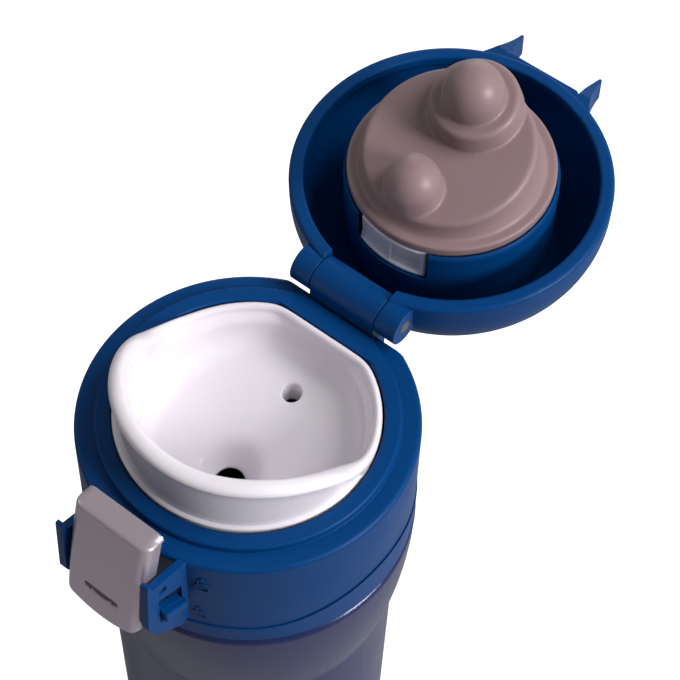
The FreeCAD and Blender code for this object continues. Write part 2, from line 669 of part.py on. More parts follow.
flange = size("gasket_radius")
face = size("plateau_radius")
flange_turned = turned("gasket_flange", [
    (0.0, TOP + 1.75), (0.0, below(3.5)), (flange - 0.5, below(3.5)), (flange, below(3.0)),
    (flange, below(1.35)), (flange - 0.7, below(1.35)), (flange - 0.7, TOP + 1.75)])
tilt = math.radians(number(size("plateau_slope")))
face_normal = Vector(0.0, math.sin(tilt), -math.cos(tilt))
FACE_DROP = 11.1              # gasket face below the rim plane, on the axis
TALL_AT, LOW_AT = -7.45, 12.8   # where the two domes stand along the face
TALL_OUT, LOW_OUT = 7.3, 3.3    # how far their centres stand out from it


def on_face(y, out=0.0):
    """Point of the sloping gasket face at y, moved out along its normal."""
    foot_point = Vector(0.0, y, number(TOP) - FACE_DROP + y * math.tan(tilt))
    return foot_point + face_normal * out


dome = number(size("dome_radius"))
low_dome = number(size("low_dome_radius"))
root_ring = Part.Wire(Part.makeCircle(18.9, Vector(0, 0, number(TOP) - 3.2), Vector(0, 0, -1)))
face_ring = Part.Wire(Part.makeCircle(number(face), on_face(1.55), face_normal))
plateau = Part.makeLoft([root_ring, face_ring], True)
pedestal = Part.makeCone(9.5, 8.7, 5.8, on_face(TALL_AT, -1.0), face_normal)
big_neck = Part.makeCylinder(dome, 2.8, on_face(TALL_AT, 4.5), face_normal)
big_dome = Part.makeSphere(dome, on_face(TALL_AT, TALL_OUT))
small_neck = Part.makeCylinder(low_dome, 4.3, on_face(LOW_AT, -1.0), face_normal)
small_dome = Part.makeSphere(low_dome, on_face(LOW_AT, LOW_OUT))
gasket_top = solid("gasket_top", plateau.fuse(
    [pedestal, big_neck, big_dome, small_neck, small_dome]))
node("lid_gasket", combine("Fuse", "gasket_solid", [flange_turned, gasket_top]), OPEN)

# --- check and write ---------------------------------------------------------

doc.recompute()
for thing in doc.Objects:
    if "Invalid" in thing.State or "Error" in thing.State:
        raise RuntimeError(f"{thing.Name} did not build: {thing.State}")
os.makedirs("parts", exist_ok=True)
for piece in NODES:
    shape = piece.Shape
    if shape.isNull() or not shape.isValid() or shape.Volume <= 0.0:
        raise RuntimeError(f"{piece.Label} has no sound solid")
    shape.exportStep(f"parts/{piece.Label}.step")
    box = shape.optimalBoundingBox(False, False)
    print(f"{piece.Label:22s} {len(shape.Solids)} solid {shape.Volume:9.1f} mm3 "
          f"x {box.XMin:6.1f} {box.XMax:6.1f} y {box.YMin:6.1f} {box.YMax:6.1f} "
          f"z {box.ZMin:6.1f} {box.ZMax:6.1f}")
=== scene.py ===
# %% [markdown]
# # A flip-top vacuum mug, finished in Blender
#
# The mug's working parts were drawn in CAD and packed as a fixed frame. This lesson dresses
# that frame: it gives each piece the surface of its real material, and rebuilds the soft and
# softly rounded pieces, such as the silicone gasket and the drinking bowl, as finer meshes.
# Everything is in metres, in the frame's own coordinates, so nothing is moved into place.

import json
import math

import bmesh
import bpy
from mathutils import Matrix, Vector

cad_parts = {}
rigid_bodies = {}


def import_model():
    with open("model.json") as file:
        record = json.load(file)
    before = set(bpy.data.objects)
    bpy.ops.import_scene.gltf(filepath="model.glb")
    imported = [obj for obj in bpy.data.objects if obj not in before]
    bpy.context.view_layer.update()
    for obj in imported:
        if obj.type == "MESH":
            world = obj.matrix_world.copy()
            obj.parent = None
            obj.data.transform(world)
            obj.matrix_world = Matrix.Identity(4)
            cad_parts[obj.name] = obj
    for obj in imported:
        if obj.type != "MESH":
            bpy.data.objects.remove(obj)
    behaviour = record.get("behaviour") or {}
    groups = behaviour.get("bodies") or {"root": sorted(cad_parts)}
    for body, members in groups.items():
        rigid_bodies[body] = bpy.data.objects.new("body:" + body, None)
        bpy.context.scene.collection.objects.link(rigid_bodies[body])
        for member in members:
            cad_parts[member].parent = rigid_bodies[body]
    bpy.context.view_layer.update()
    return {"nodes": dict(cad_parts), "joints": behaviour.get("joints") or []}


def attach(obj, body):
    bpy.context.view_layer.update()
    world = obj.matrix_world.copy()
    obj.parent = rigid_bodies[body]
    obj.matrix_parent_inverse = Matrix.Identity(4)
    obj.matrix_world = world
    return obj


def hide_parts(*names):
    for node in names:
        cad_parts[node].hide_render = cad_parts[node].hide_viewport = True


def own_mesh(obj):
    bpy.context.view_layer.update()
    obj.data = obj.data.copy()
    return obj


for leftover in list(bpy.data.objects):
    bpy.data.objects.remove(leftover)
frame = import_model()
nodes = frame["nodes"]

# %% [markdown]
# Most lengths of the mug read best from the collar's top edge, and the lid's pieces from the
# lid as it lies when shut. So one helper turns millimetres above the collar into a point, and
# one matrix swings a point of the shut lid to where the lid stands open.

# %% Measure the frame
MM = 0.001
lid_joint = next(j for j in frame["joints"] if j["name"] == "lid_hinge")
hinge_point = Vector(lid_joint["pos_m"])
hinge_above_collar = 4.65 * MM
collar_top = hinge_point.z - hinge_above_collar
lid_swing = math.radians(lid_joint["range_deg"][1])
open_lid = (Matrix.Translation(hinge_point) @ Matrix.Rotation(-lid_swing, 4, "X")
            @ Matrix.Translation(-hinge_point))


def above(x, y, z):
    """Point at x, y and a height over the collar's top edge, all in millimetres."""
    return Vector((x * MM, y * MM, collar_top + z * MM))


def lid_point(x, y, z):
    """The same point, carried round with the open lid."""
    return open_lid @ above(x, y, z)


print("collar top at", round(collar_top / MM, 2), "mm; the lid swings",
      round(math.degrees(lid_swing), 1), "degrees")

# %% [markdown]
# ## Shader groups
#
# Moulded plastic is never perfectly even: it has a very fine grain, and soft patches where it
# was touched. Its edges are slightly rounded and catch the light. Several materials share
# these effects, so each effect is a node group with named inputs, built once.

# %% Helpers for node trees
def new_group(name, inputs, outputs):
    """Node group with its inputs and outputs; each is (name, socket type, default)."""
    tree = bpy.data.node_groups.new(name, "ShaderNodeTree")
    for label, kind, value in inputs:
        socket = tree.interface.new_socket(label, in_out="INPUT", socket_type=kind)
        if value is not None:
            socket.default_value = value
    for label, kind in outputs:
        tree.interface.new_socket(label, in_out="OUTPUT", socket_type=kind)
    return tree, tree.nodes.new("NodeGroupInput"), tree.nodes.new("NodeGroupOutput")


def add(tree, kind, **settings):
    """New shader node, with any of its settings."""
    made = tree.nodes.new("ShaderNode" + kind)
    for key, value in settings.items():
        setattr(made, key, value)
    return made


def noise(tree, scale, detail):
    """Noise on object coordinates, with the scale in bumps per metre."""
    where = add(tree, "TexCoord")
    pattern = add(tree, "TexNoise")
    pattern.inputs["Detail"].default_value = detail
    tree.links.new(where.outputs["Object"], pattern.inputs["Vector"])
    if hasattr(scale, "is_linked"):
        tree.links.new(scale, pattern.inputs["Scale"])
    else:
        pattern.inputs["Scale"].default_value = scale
    return pattern.outputs["Fac"]


NOISE_LOW, NOISE_HIGH = 0.3, 0.7


def spread(tree, value, low, high):
    """Stretch the band that noise keeps to over a range; low and high are numbers or sockets."""
    ramp = add(tree, "MapRange")
    ramp.inputs["From Min"].default_value = NOISE_LOW
    ramp.inputs["From Max"].default_value = NOISE_HIGH
    tree.links.new(value, ramp.inputs["Value"])
    for label, limit in (("To Min", low), ("To Max", high)):
        if hasattr(limit, "is_linked"):
            tree.links.new(limit, ramp.inputs[label])
        else:
            ramp.inputs[label].default_value = limit
    return ramp.outputs["Result"]


# %% [markdown]
# The first effect is grain. Plastic copies the fine texture of its mould, lacquer that of the
# spray, and both shine unevenly where hands have polished them. An image of grain would need
# the mesh unwrapped, and would show a seam. Noise on object coordinates needs neither: a fine
# noise is the height of a bump, and a broad one moves the roughness between two values.

# %% Grain of a moulded or sprayed surface
grain, grain_in, grain_out = new_group(
    "surface_grain",
    [("Scale", "NodeSocketFloat", 2500.0), ("Smooth", "NodeSocketFloat", 0.3),
     ("Rough", "NodeSocketFloat", 0.4)],
    [("Height", "NodeSocketFloat"), ("Roughness", "NodeSocketFloat")])
fine = noise(grain, scale=grain_in.outputs["Scale"], detail=2.0)
patches = noise(grain, scale=45.0, detail=3.0)
grain.links.new(fine, grain_out.inputs["Height"])
grain.links.new(
    spread(grain, patches, grain_in.outputs["Smooth"], grain_in.outputs["Rough"]),
    grain_out.inputs["Roughness"])
print("made", grain.name)

# %% [markdown]
# Pigment is never mixed quite evenly. A broad noise makes the colour a few hundredths lighter
# or darker. It multiplies only the value of the colour, so that the hue stays as it is.

# %% Slight change of colour over a surface
tint, tint_in, tint_out = new_group(
    "colour_drift",
    [("Color", "NodeSocketColor", None), ("Amount", "NodeSocketFloat", 0.06)],
    [("Color", "NodeSocketColor")])
drift = add(tint, "HueSaturation")
tint.links.new(tint_in.outputs["Color"], drift.inputs["Color"])
lighter = add(tint, "Math", operation="MULTIPLY_ADD")
cloud = noise(tint, scale=30.0, detail=4.0)
tint.links.new(spread(tint, cloud, -1.0, 1.0), lighter.inputs[0])
tint.links.new(tint_in.outputs["Amount"], lighter.inputs[1])
lighter.inputs[2].default_value = 1.0
tint.links.new(lighter.outputs[0], drift.inputs["Value"])
tint.links.new(drift.outputs["Color"], tint_out.inputs["Color"])
print("made", tint.name)

# %% [markdown]
# An edge straight from CAD is knife-sharp, and a real one is not. The Bevel modifier could
# round it, but often fails on a mesh of loose triangles. The Bevel node only bends the normal
# near an edge, and leaves the mesh alone. Where the bent normal and the true one disagree
# there is an edge, so their dot product also blends in a paler colour there: a painted
# highlight along every edge.

# %% Rounded edges with a painted highlight
FLAT_DOT, EDGE_DOT = 0.99, 0.75
edges, edges_in, edges_out = new_group(
    "softened_edges_and_highlight",
    [("Color", "NodeSocketColor", None), ("Edge Highlight Color", "NodeSocketColor", None),
     ("Radius", "NodeSocketFloat", 0.0003), ("Amount", "NodeSocketFloat", 0.4)],
    [("Color", "NodeSocketColor"), ("Normal", "NodeSocketVector")])
round_over = add(edges, "Bevel", samples=4)
edges.links.new(edges_in.outputs["Radius"], round_over.inputs["Radius"])
facing = add(edges, "NewGeometry")
agree = add(edges, "VectorMath", operation="DOT_PRODUCT")
edges.links.new(round_over.outputs["Normal"], agree.inputs[0])
edges.links.new(facing.outputs["Normal"], agree.inputs[1])
# Painted highlight: this mask is 1 on edges, where the paler colour is blended in.
edge_highlight_mask = add(edges, "MapRange")
edge_highlight_mask.inputs["From Min"].default_value = FLAT_DOT
edge_highlight_mask.inputs["From Max"].default_value = EDGE_DOT
edges.links.new(agree.outputs["Value"], edge_highlight_mask.inputs["Value"])
share = add(edges, "Math", operation="MULTIPLY")
edges.links.new(edge_highlight_mask.outputs["Result"], share.inputs[0])
edges.links.new(edges_in.outputs["Amount"], share.inputs[1])
blend = add(edges, "Mix", data_type="RGBA")
edges.links.new(share.outputs[0], blend.inputs["Factor"])
edges.links.new(edges_in.outputs["Color"], blend.inputs["A"])
edges.links.new(edges_in.outputs["Edge Highlight Color"], blend.inputs["B"])
edges.links.new(blend.outputs["Result"], edges_out.inputs["Color"])
edges.links.new(round_over.outputs["Normal"], edges_out.inputs["Normal"])
print("shader groups:", [g.name for g in bpy.data.node_groups])

# %% [markdown]
# ## Materials
#
# Every finish on the mug is a Principled shader fed by the same three groups with its own
# values: grain for height and roughness, drift for colour, softened edges for the normal and
# a painted highlight along the edges.
# One function wires them, and each finish then has a short function of its own.

# %% Wire one finish
BUMP_STRENGTH = 0.25


def finish(name, color, smooth, rough, grain_scale, grain_height, edge_highlight_color, edge_radius,
           edge_highlight_amount=0.35, drift_amount=0.05, **settings):
    """Principled material whose colour, roughness and normal vary over the surface."""
    material = bpy.data.materials.new(name)
    material.use_nodes = True
    tree = material.node_tree
    shader = tree.nodes["Principled BSDF"]
    for key, value in settings.items():
        shader.inputs[key.replace("_", " ")].default_value = value
    surface = add(tree, "Group", node_tree=grain)
    surface.inputs["Scale"].default_value = grain_scale
    surface.inputs["Smooth"].default_value = smooth
    surface.inputs["Rough"].default_value = rough
    tree.links.new(surface.outputs["Roughness"], shader.inputs["Roughness"])
    hue = add(tree, "Group", node_tree=tint)
    hue.inputs["Color"].default_value = (*color, 1.0)
    hue.inputs["Amount"].default_value = drift_amount
    # The softened edges bend the normal and paint a paler highlight colour along every edge.
    border = add(tree, "Group", node_tree=edges)
    border.inputs["Edge Highlight Color"].default_value = (*edge_highlight_color, 1.0)
    border.inputs["Radius"].default_value = edge_radius
    border.inputs["Amount"].default_value = edge_highlight_amount
    tree.links.new(hue.outputs["Color"], border.inputs["Color"])
    tree.links.new(border.outputs["Color"], shader.inputs["Base Color"])
    bump = add(tree, "Bump")
    bump.inputs["Strength"].default_value = BUMP_STRENGTH
    bump.inputs["Distance"].default_value = grain_height
    tree.links.new(surface.outputs["Height"], bump.inputs["Height"])
    tree.links.new(border.outputs["Normal"], bump.inputs["Normal"])
    tree.links.new(bump.outputs["Normal"], shader.inputs["Normal"])
    return material


# %% [markdown]
# ### Plastics
#
# The lid and collar are satin blue, the mouthpiece is glossy white, the gasket's lever is milky
# and the latch behind the button is dark. Paint would need only a colour. Light goes a little
# way into pale plastic, though, so the white and the milky one scatter some of it inside. The
# blue one reflects less than the shader's default, which would wash its deep colour out.

# %% Plastics of the lid, collar and mouthpiece
def blue_plastic():
    """Satin injection-moulded plastic in a deep blue."""
    return finish("blue_plastic", color=(0.0, 0.040, 0.158), smooth=0.34, rough=0.46,
                  grain_scale=2600.0, grain_height=0.00004,
                  edge_highlight_color=(0.01, 0.09, 0.30), edge_radius=0.00035,
                  Specular_IOR_Level=0.14)


def white_plastic():
    """Glossy white plastic that touches food."""
    return finish("white_plastic", color=(0.70, 0.66, 0.71), smooth=0.10, rough=0.17,
                  grain_scale=700.0, grain_height=0.00003,
                  edge_highlight_color=(0.78, 0.75, 0.79), edge_radius=0.0003,
                  edge_highlight_amount=0.2, drift_amount=0.01,
                  Subsurface_Weight=0.12, Subsurface_Scale=0.002)


def lever_plastic():
    """Milky grey-white plastic of the gasket's release lever."""
    return finish("lever_plastic", color=(0.66, 0.65, 0.74), smooth=0.30, rough=0.40,
                  grain_scale=1800.0, grain_height=0.00004,
                  edge_highlight_color=(0.8, 0.8, 0.86), edge_radius=0.0003,
                  Subsurface_Weight=0.1, Subsurface_Scale=0.001)


def dark_plastic():
    """Black-blue plastic of the latch lever behind the button."""
    return finish("dark_plastic", color=(0.012, 0.018, 0.035), smooth=0.45, rough=0.6,
                  grain_scale=2200.0, grain_height=0.00006,
                  edge_highlight_color=(0.05, 0.07, 0.11), edge_radius=0.0003)


blue = blue_plastic()
white = white_plastic()
milky = lever_plastic()
dark = dark_plastic()
print("plastics:", [plastic.name for plastic in (blue, white, milky, dark)])

# %% [markdown]
# ### Silicone and rubber
#
# The gasket is matt silicone, a little powdery, and lights up where it curves away from the
# eye. A velvet shader does the same, but a little sheen on the Principled shader is enough,
# and keeps one wiring for all finishes. The rubber foot is darker, rougher and coarser.

# %% Silicone and rubber
def taupe_silicone():
    """Matt silicone that lights up softly where it curves away."""
    return finish("taupe_silicone", color=(0.235, 0.158, 0.165), smooth=0.40, rough=0.50,
                  grain_scale=3200.0, grain_height=0.00006,
                  edge_highlight_color=(0.33, 0.235, 0.24), edge_radius=0.0003,
                  edge_highlight_amount=0.25, drift_amount=0.03,
                  Sheen_Weight=0.12, Sheen_Roughness=0.4, Specular_IOR_Level=0.42)


def base_rubber():
    """Dark rubber of the foot."""
    return finish("base_rubber", color=(0.03, 0.033, 0.05), smooth=0.6, rough=0.8,
                  grain_scale=1500.0, grain_height=0.0002,
                  edge_highlight_color=(0.06, 0.065, 0.09), edge_radius=0.0004)


silicone = taupe_silicone()
rubber = base_rubber()
print("soft finishes:", silicone.name, rubber.name)

# %% [markdown]
# ### Metals
#
# The button is plated plastic: mostly metal, under a thin clear coat. Pins and springs are
# turned steel with a much darker colour, painted shade for parts that see little of the room,
# and the flask is polished steel inside. A full metal mirrors whatever stands round it, so a
# small change of roughness does more for its look than a change of colour.

# %% Metals
STEEL_COLOR = (0.60, 0.60, 0.61)


def silver_trim():
    """Satin silver finish of the button."""
    return finish("silver_trim", color=(0.58, 0.49, 0.545), smooth=0.30, rough=0.38,
                  grain_scale=4200.0, grain_height=0.00003,
                  edge_highlight_color=(0.8, 0.76, 0.78), edge_radius=0.0004,
                  edge_highlight_amount=0.5, drift_amount=0.02,
                  Metallic=0.75, Coat_Weight=0.3, Coat_Roughness=0.2)


def turned_steel_painted_shade():
    """Steel of pins and springs, darkened as painted shade."""
    return finish("turned_steel_painted_shade", color=(0.24, 0.235, 0.25), smooth=0.25, rough=0.4,
                  grain_scale=5200.0, grain_height=0.00003,
                  edge_highlight_color=(0.7, 0.7, 0.72), edge_radius=0.0002, Metallic=1.0)


def liner_steel():
    """Electropolished steel inside the flask."""
    return finish("liner_steel", color=STEEL_COLOR, smooth=0.22, rough=0.34,
                  grain_scale=1400.0, grain_height=0.00003,
                  edge_highlight_color=(0.75, 0.75, 0.76), edge_radius=0.0002, Metallic=1.0)


silver = silver_trim()
pin_steel = turned_steel_painted_shade()
bare_steel = liner_steel()
print("metals:", [metal.name for metal in (silver, pin_steel, bare_steel)])

# %% [markdown]
# ### Lacquered steel
#
# The steel body is sprayed with a dark blue lacquer, but its threaded neck stays bare. Two
# materials would need the mesh split along the line between them. Instead one material
# changes from lacquer to metal at a height, read from the object's own coordinates.

# %% Lacquered steel with a bare neck
shoulder_height = collar_top - 28.75 * MM
LACQUER_METALLIC = 0.05


def lacquered_steel():
    """Satin lacquer below the shoulder, bare steel on the neck."""
    material = finish("lacquered_steel", color=(0.010, 0.018, 0.078), smooth=0.20, rough=0.28,
                      grain_scale=3800.0, grain_height=0.00002,
                      edge_highlight_color=(0.08, 0.10, 0.20), edge_radius=0.0003,
                      drift_amount=0.04, Specular_IOR_Level=0.42)
    tree = material.node_tree
    shader = tree.nodes["Principled BSDF"]
    where = add(tree, "TexCoord")
    split = add(tree, "SeparateXYZ")
    tree.links.new(where.outputs["Object"], split.inputs[0])
    bare = add(tree, "Math", operation="GREATER_THAN")
    bare.inputs[1].default_value = shoulder_height
    tree.links.new(split.outputs["Z"], bare.inputs[0])
    metal = add(tree, "MapRange")
    metal.inputs["To Min"].default_value = LACQUER_METALLIC
    metal.inputs["To Max"].default_value = 1.0
    tree.links.new(bare.outputs[0], metal.inputs["Value"])
    tree.links.new(metal.outputs["Result"], shader.inputs["Metallic"])
    coloured = shader.inputs["Base Color"].links[0].from_socket
    swap = add(tree, "Mix", data_type="RGBA")
    swap.inputs["B"].default_value = (*STEEL_COLOR, 1.0)
    tree.links.new(bare.outputs[0], swap.inputs["Factor"])
    tree.links.new(coloured, swap.inputs["A"])
    tree.links.new(swap.outputs["Result"], shader.inputs["Base Color"])
    return material


lacquer = lacquered_steel()
print(lacquer.name, "turns bare above", round(shoulder_height / MM, 1), "mm")

# %% [markdown]
# ## Finishes on the CAD pieces
#
# Each CAD piece comes as a plain mesh, and gets one finish. A table that goes from a finish to
# the pieces that wear it is easier to check than a line for each piece. It also lists the
# pieces that finer meshes replace further on, so that no piece is left without a finish.

# %% Give every CAD node its finish
FINISHES = {
    lacquer: ["outer_shell"],
    bare_steel: ["inner_liner", "vacuum_end_plate", "getter_disc"],
    pin_steel: ["vacuum_port_seal", "hinge_pin", "latch_pin", "hinge_spring", "latch_spring"],
    blue: ["collar_housing", "collar_band", "lid_shell", "gasket_boss", "lock_slider"],
    white: ["mouthpiece"],
    milky: ["gasket_carrier", "gasket_release_lever"],
    dark: ["latch_lever"],
    silver: ["latch_button"],
    silicone: ["lid_gasket", "mouthpiece_seal", "neck_seal"],
    rubber: ["base_cap"],
}
for material, names in FINISHES.items():
    for name in names:
        nodes[name].data.materials.clear()
        nodes[name].data.materials.append(material)
print("finished CAD nodes:", sum(len(names) for names in FINISHES.values()), "of", len(nodes))

# %% [markdown]
# ## Meshes from rings
#
# The gasket and the drinking bowl are round, but tilted, off-centre or cut flat, so a plain
# spin can't make them. Both can be described as a stack of rings with the same number of
# points, each ring a formula of the angle. Joining each ring to the next gives clean quads
# that follow the shape, with round edges where several rings lie close together.

# %% Rings and strips
def ring(point_at, count):
    """Closed ring of count points, from a function of the angle."""
    return [point_at(2 * math.pi * k / count) for k in range(count)]


def strip(mesh, lower, upper):
    """Band of quads between two rings of mesh vertices."""
    count = len(lower)
    for k in range(count):
        follower = (k + 1) % count
        mesh.faces.new((lower[k], lower[follower], upper[follower], upper[k]))


def stack(mesh, rings):
    """Join rings of points one after another; returns the first and last vertex rings."""
    loops = [[mesh.verts.new(p) for p in points] for points in rings]
    for lower, upper in zip(loops, loops[1:]):
        strip(mesh, lower, upper)
    return loops[0], loops[-1]


def cap(mesh, loop):
    """Close a ring with a fan round its middle."""
    middle = mesh.verts.new(sum((v.co for v in loop), Vector()) / len(loop))
    for k in range(len(loop)):
        mesh.faces.new((loop[k], loop[(k + 1) % len(loop)], middle))


def quarter(center_across, center_up, radius, start, end, steps):
    """Points (across, up) of a round edge, between two angles in degrees."""
    turns = [math.radians(start + (end - start) * i / steps) for i in range(steps + 1)]
    return [(center_across + radius * math.cos(turn), center_up + radius * math.sin(turn))
            for turn in turns]


print("a round edge in 4 steps has", len(quarter(0, 0, 1, 0, 90, 4)), "points")

# %% [markdown]
# Every finished mesh then takes the same last steps, so each step is a helper. The mesh is
# welded, its faces are turned outward, and only its true corners stay sharp. Modifiers are
# applied for good. Then the piece gets its material and the CAD body that it moves with, and
# hides the CAD piece whose place it takes.

# %% From mesh to finished piece
def settle(piece, material, body, replaced=()):
    """Give a finished piece its material and its CAD body, and hide the pieces it replaces."""
    piece.data.materials.clear()
    piece.data.materials.append(material)
    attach(piece, body)
    if replaced:
        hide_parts(*replaced)
    print(piece.name, len(piece.data.polygons), "faces on", body)
    return piece


def piece_from(name, mesh, crease=40.0):
    """Object from a bmesh: welded, faces outward, smooth but for its creases."""
    bmesh.ops.remove_doubles(mesh, verts=mesh.verts, dist=1e-7)
    bmesh.ops.recalc_face_normals(mesh, faces=mesh.faces)
    data = bpy.data.meshes.new(name)
    mesh.to_mesh(data)
    mesh.free()
    data.shade_smooth()
    data.set_sharp_from_angle(angle=math.radians(crease))
    piece = bpy.data.objects.new(name, data)
    bpy.context.scene.collection.objects.link(piece)
    return piece


def baked(piece):
    """Apply a piece's modifiers for good."""
    graph = bpy.context.evaluated_depsgraph_get()
    result = bpy.data.meshes.new_from_object(piece.evaluated_get(graph))
    piece.modifiers.clear()
    piece.data = result
    return piece


# %% [markdown]
# ## The silicone gasket
#
# A soft disc snaps over the tube in the lid. Its face is a tilted plateau that lies over the
# bowl's sloping floor. A tall dome on a collar plugs the drinking hole, and a low dome shuts
# the air hole. Each solid is drawn with its own rounded edges. A voxel remesh then joins them
# into one skin, and a little smoothing turns the joints into the soft fillets of a moulding.

# %% Measures of the gasket
gasket_radius = 21.0
face_slope = math.radians(12.3)
face_drop = 11.1
plateau_radius = 17.4
plateau_along = 1.55 / math.cos(face_slope)
GASKET_POINTS = 128


def face_point(x, y, out):
    """Point over the tilted gasket face: x and y along it, out from it."""
    return Vector((x, y * math.cos(face_slope) + out * math.sin(face_slope),
                   -face_drop + y * math.sin(face_slope) - out * math.cos(face_slope)))


def lathe_on_face(mesh, y, outline):
    """Solid turned about the face's normal at y; outline is (radius, out)."""
    along = y / math.cos(face_slope)
    rings = [ring(lambda a, r=r, out=out: lid_point(
        *face_point(r * math.cos(a), along + r * math.sin(a), out)), GASKET_POINTS)
        for r, out in outline]
    first, last = stack(mesh, rings)
    cap(mesh, first)
    cap(mesh, last)


print("gasket:", 2 * gasket_radius, "mm wide, its face tilted by",
      round(math.degrees(face_slope), 1), "degrees")

# %% [markdown]
# The flange is the thin disc over the tube's end. It is a turned profile: a short neck, a
# small round where it meets the lid and a larger one on the side that can be seen.

# %% Flange
gasket = bmesh.new()
flange_base, flange_face = -1.35, -3.5
base_round, rim_round = 0.25, 0.5
flange_core = 17.5
flange = ([(flange_core, 1.0), (20.2, 0.9), (20.3, flange_base)]
          + quarter(gasket_radius - base_round, flange_base - base_round, base_round, 90, 0, 3)
          + quarter(gasket_radius - rim_round, flange_face + rim_round, rim_round, 0, -90, 5)
          + [(flange_core, flange_face)])
flange_rings = [ring(lambda a, r=r, z=z: lid_point(r * math.cos(a), r * math.sin(a), z),
                     GASKET_POINTS) for r, z in flange]
first, last = stack(gasket, flange_rings)
cap(gasket, first)
cap(gasket, last)
print("flange of", len(flange), "rings,", round(flange_base - flange_face, 2), "mm thick")

# %% [markdown]
# The plateau leaves the flange as a level circle and ends as a tilted one. A spin can't turn
# one into the other, so each ring of its wall is a blend of the two. A power of the height
# sets the blend, and makes the wall sweep inward early, like the cove of a real moulding.

# %% Plateau
cove_radius = 19.2
cove_root = flange_face + 0.6
cove_power = 2.6
edge_round = 1.2


def plateau_ring(rise):
    """Ring of the plateau's wall: rise is 0 at the flange and 1 at the face."""
    def point_at(angle):
        side = Vector((math.cos(angle), math.sin(angle)))
        base = Vector((cove_radius * side.x, cove_radius * side.y, cove_root))
        top = face_point(plateau_radius * side.x, plateau_along + plateau_radius * side.y,
                         -edge_round)
        inward = 1.0 - (1.0 - rise) ** cove_power
        point = base.lerp(top, inward)
        point.z = base.z + (top.z - base.z) * rise
        return lid_point(*point)
    return ring(point_at, GASKET_POINTS)


def plateau_edge(across, up):
    """Ring of the plateau's rounded edge, offset across and up from the face's rim."""
    radius = plateau_radius + across
    return ring(lambda a: lid_point(*face_point(
        radius * math.cos(a), plateau_along + radius * math.sin(a), up)), GASKET_POINTS)


WALL_STEPS = 14
plateau = [plateau_ring(k / WALL_STEPS) for k in range(WALL_STEPS + 1)]
plateau += [plateau_edge(across, up)
            for across, up in quarter(-edge_round, -edge_round, edge_round, 10, 90, 7)]
first, last = stack(gasket, plateau)
cap(gasket, first)
cap(gasket, last)
print("plateau of", len(plateau), "rings")

# %% [markdown]
# Two domes stand square on the tilted face. The tall one stands on a collar and plugs the
# drinking hole. Each is an outline of arcs turned about the face's normal, and starts a
# little under the face, so that the pieces overlap before they are joined.

# %% Domes
tall_dome_at = -7.45
low_dome_at = 12.8
tall_dome = ([(9.4, -2.0), (9.55, 0.1)] + quarter(7.9, 3.7, 1.15, 8, 90, 7)
             + [(6.2, 4.85)] + quarter(0.0, 7.3, 6.15, 0, 84, 14))
lathe_on_face(gasket, tall_dome_at, tall_dome)
low_dome = [(5.9, -1.6), (5.85, 0.1)] + quarter(0.0, 3.3, 5.75, 0, 84, 14)
lathe_on_face(gasket, low_dome_at, low_dome)
print("tall dome", tall_dome_at, "mm and low dome", low_dome_at, "mm along the face")

# %% [markdown]
# A boolean union of these solids would leave hard joints, and often fails where faces nearly
# touch. A voxel remesh lays one even skin round all of them instead, and two passes of
# smoothing melt the joints into fillets.

# %% Join into one skin
gasket_skin = piece_from("gasket_skin", gasket)
voxels = gasket_skin.modifiers.new("one_skin", "REMESH")
voxels.mode = "VOXEL"
voxels.voxel_size = 0.26 * MM
voxels.use_smooth_shade = True
softened = gasket_skin.modifiers.new("moulded_fillets", "SMOOTH")
softened.factor = 0.5
softened.iterations = 2
baked(gasket_skin)
settle(gasket_skin, silicone, "lid", ["lid_gasket"])
lid_point(0, 0, 0)
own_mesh(gasket_skin)

# %% [markdown]
# ## The drinking bowl
#
# The white mouthpiece is a cup cut flat behind, whose rim is low by the hinge and climbs to a
# rolled drinking lip in front. Its floor slopes to a well with the drinking hole, and has a
# small air hole. Carving it from a block would take many booleans. Its rings run up the
# outside instead, over the lip, down the inside and across the floor, and the flat floor is
# then filled round the two holes. Lengths are in millimetres, and y runs toward the hinge.

# %% Outline of the bowl
BOWL_POINTS = 192
outer_radius, outer_back = 25.4, 23.1
floor_slope = math.tan(math.radians(12.5))
floor_drop = 11.1
floor_thick = 1.8
well_y = -6.3
vent_y = 13.3
RIM = [(26.0, 2.3), (11.5, 2.0), (5.5, 3.3), (0.0, 6.1), (-4.5, 9.3), (-9.0, 11.8),
       (-13.7, 13.6), (-18.4, 15.0), (-26.5, 15.9)]


def smooth_step(value, low, high):
    """0 below low, 1 above high and an even curve between."""
    share = min(max((value - low) / (high - low), 0.0), 1.0)
    return share * share * (3 - 2 * share)


def rim_height(y):
    """Height of the rim over the collar, by a smooth curve through RIM."""
    for k in range(len(RIM) - 1):
        (y0, z0), (y1, z1) = RIM[k], RIM[k + 1]
        if y1 <= y <= y0 or (k == 0 and y > y0):
            before = RIM[max(k - 1, 0)]
            after = RIM[min(k + 2, len(RIM) - 1)]
            slope0 = (z1 - before[1]) / (y1 - before[0])
            slope1 = (after[1] - z0) / (after[0] - y0)
            span = y1 - y0
            u = min(max((y - y0) / span, 0.0), 1.0)
            a = 2 * u ** 3 - 3 * u ** 2 + 1
            b = u ** 3 - 2 * u ** 2 + u
            c = -2 * u ** 3 + 3 * u ** 2
            d = u ** 3 - u ** 2
            return a * z0 + b * span * slope0 + c * z1 + d * span * slope1
    return RIM[-1][1]


CORNER_SOFTNESS = 0.45
CUT_STARTS = 0.2


def flat_back(radius, chord, angle):
    """Radius of a circle cut flat at y = chord, with the corners rounded off."""
    if math.sin(angle) < CUT_STARTS:
        return radius
    reach = chord / math.sin(angle)
    low, high = min(radius, reach), max(radius, reach)
    return low - CORNER_SOFTNESS * math.log(1 + math.exp((low - high) / CORNER_SOFTNESS))


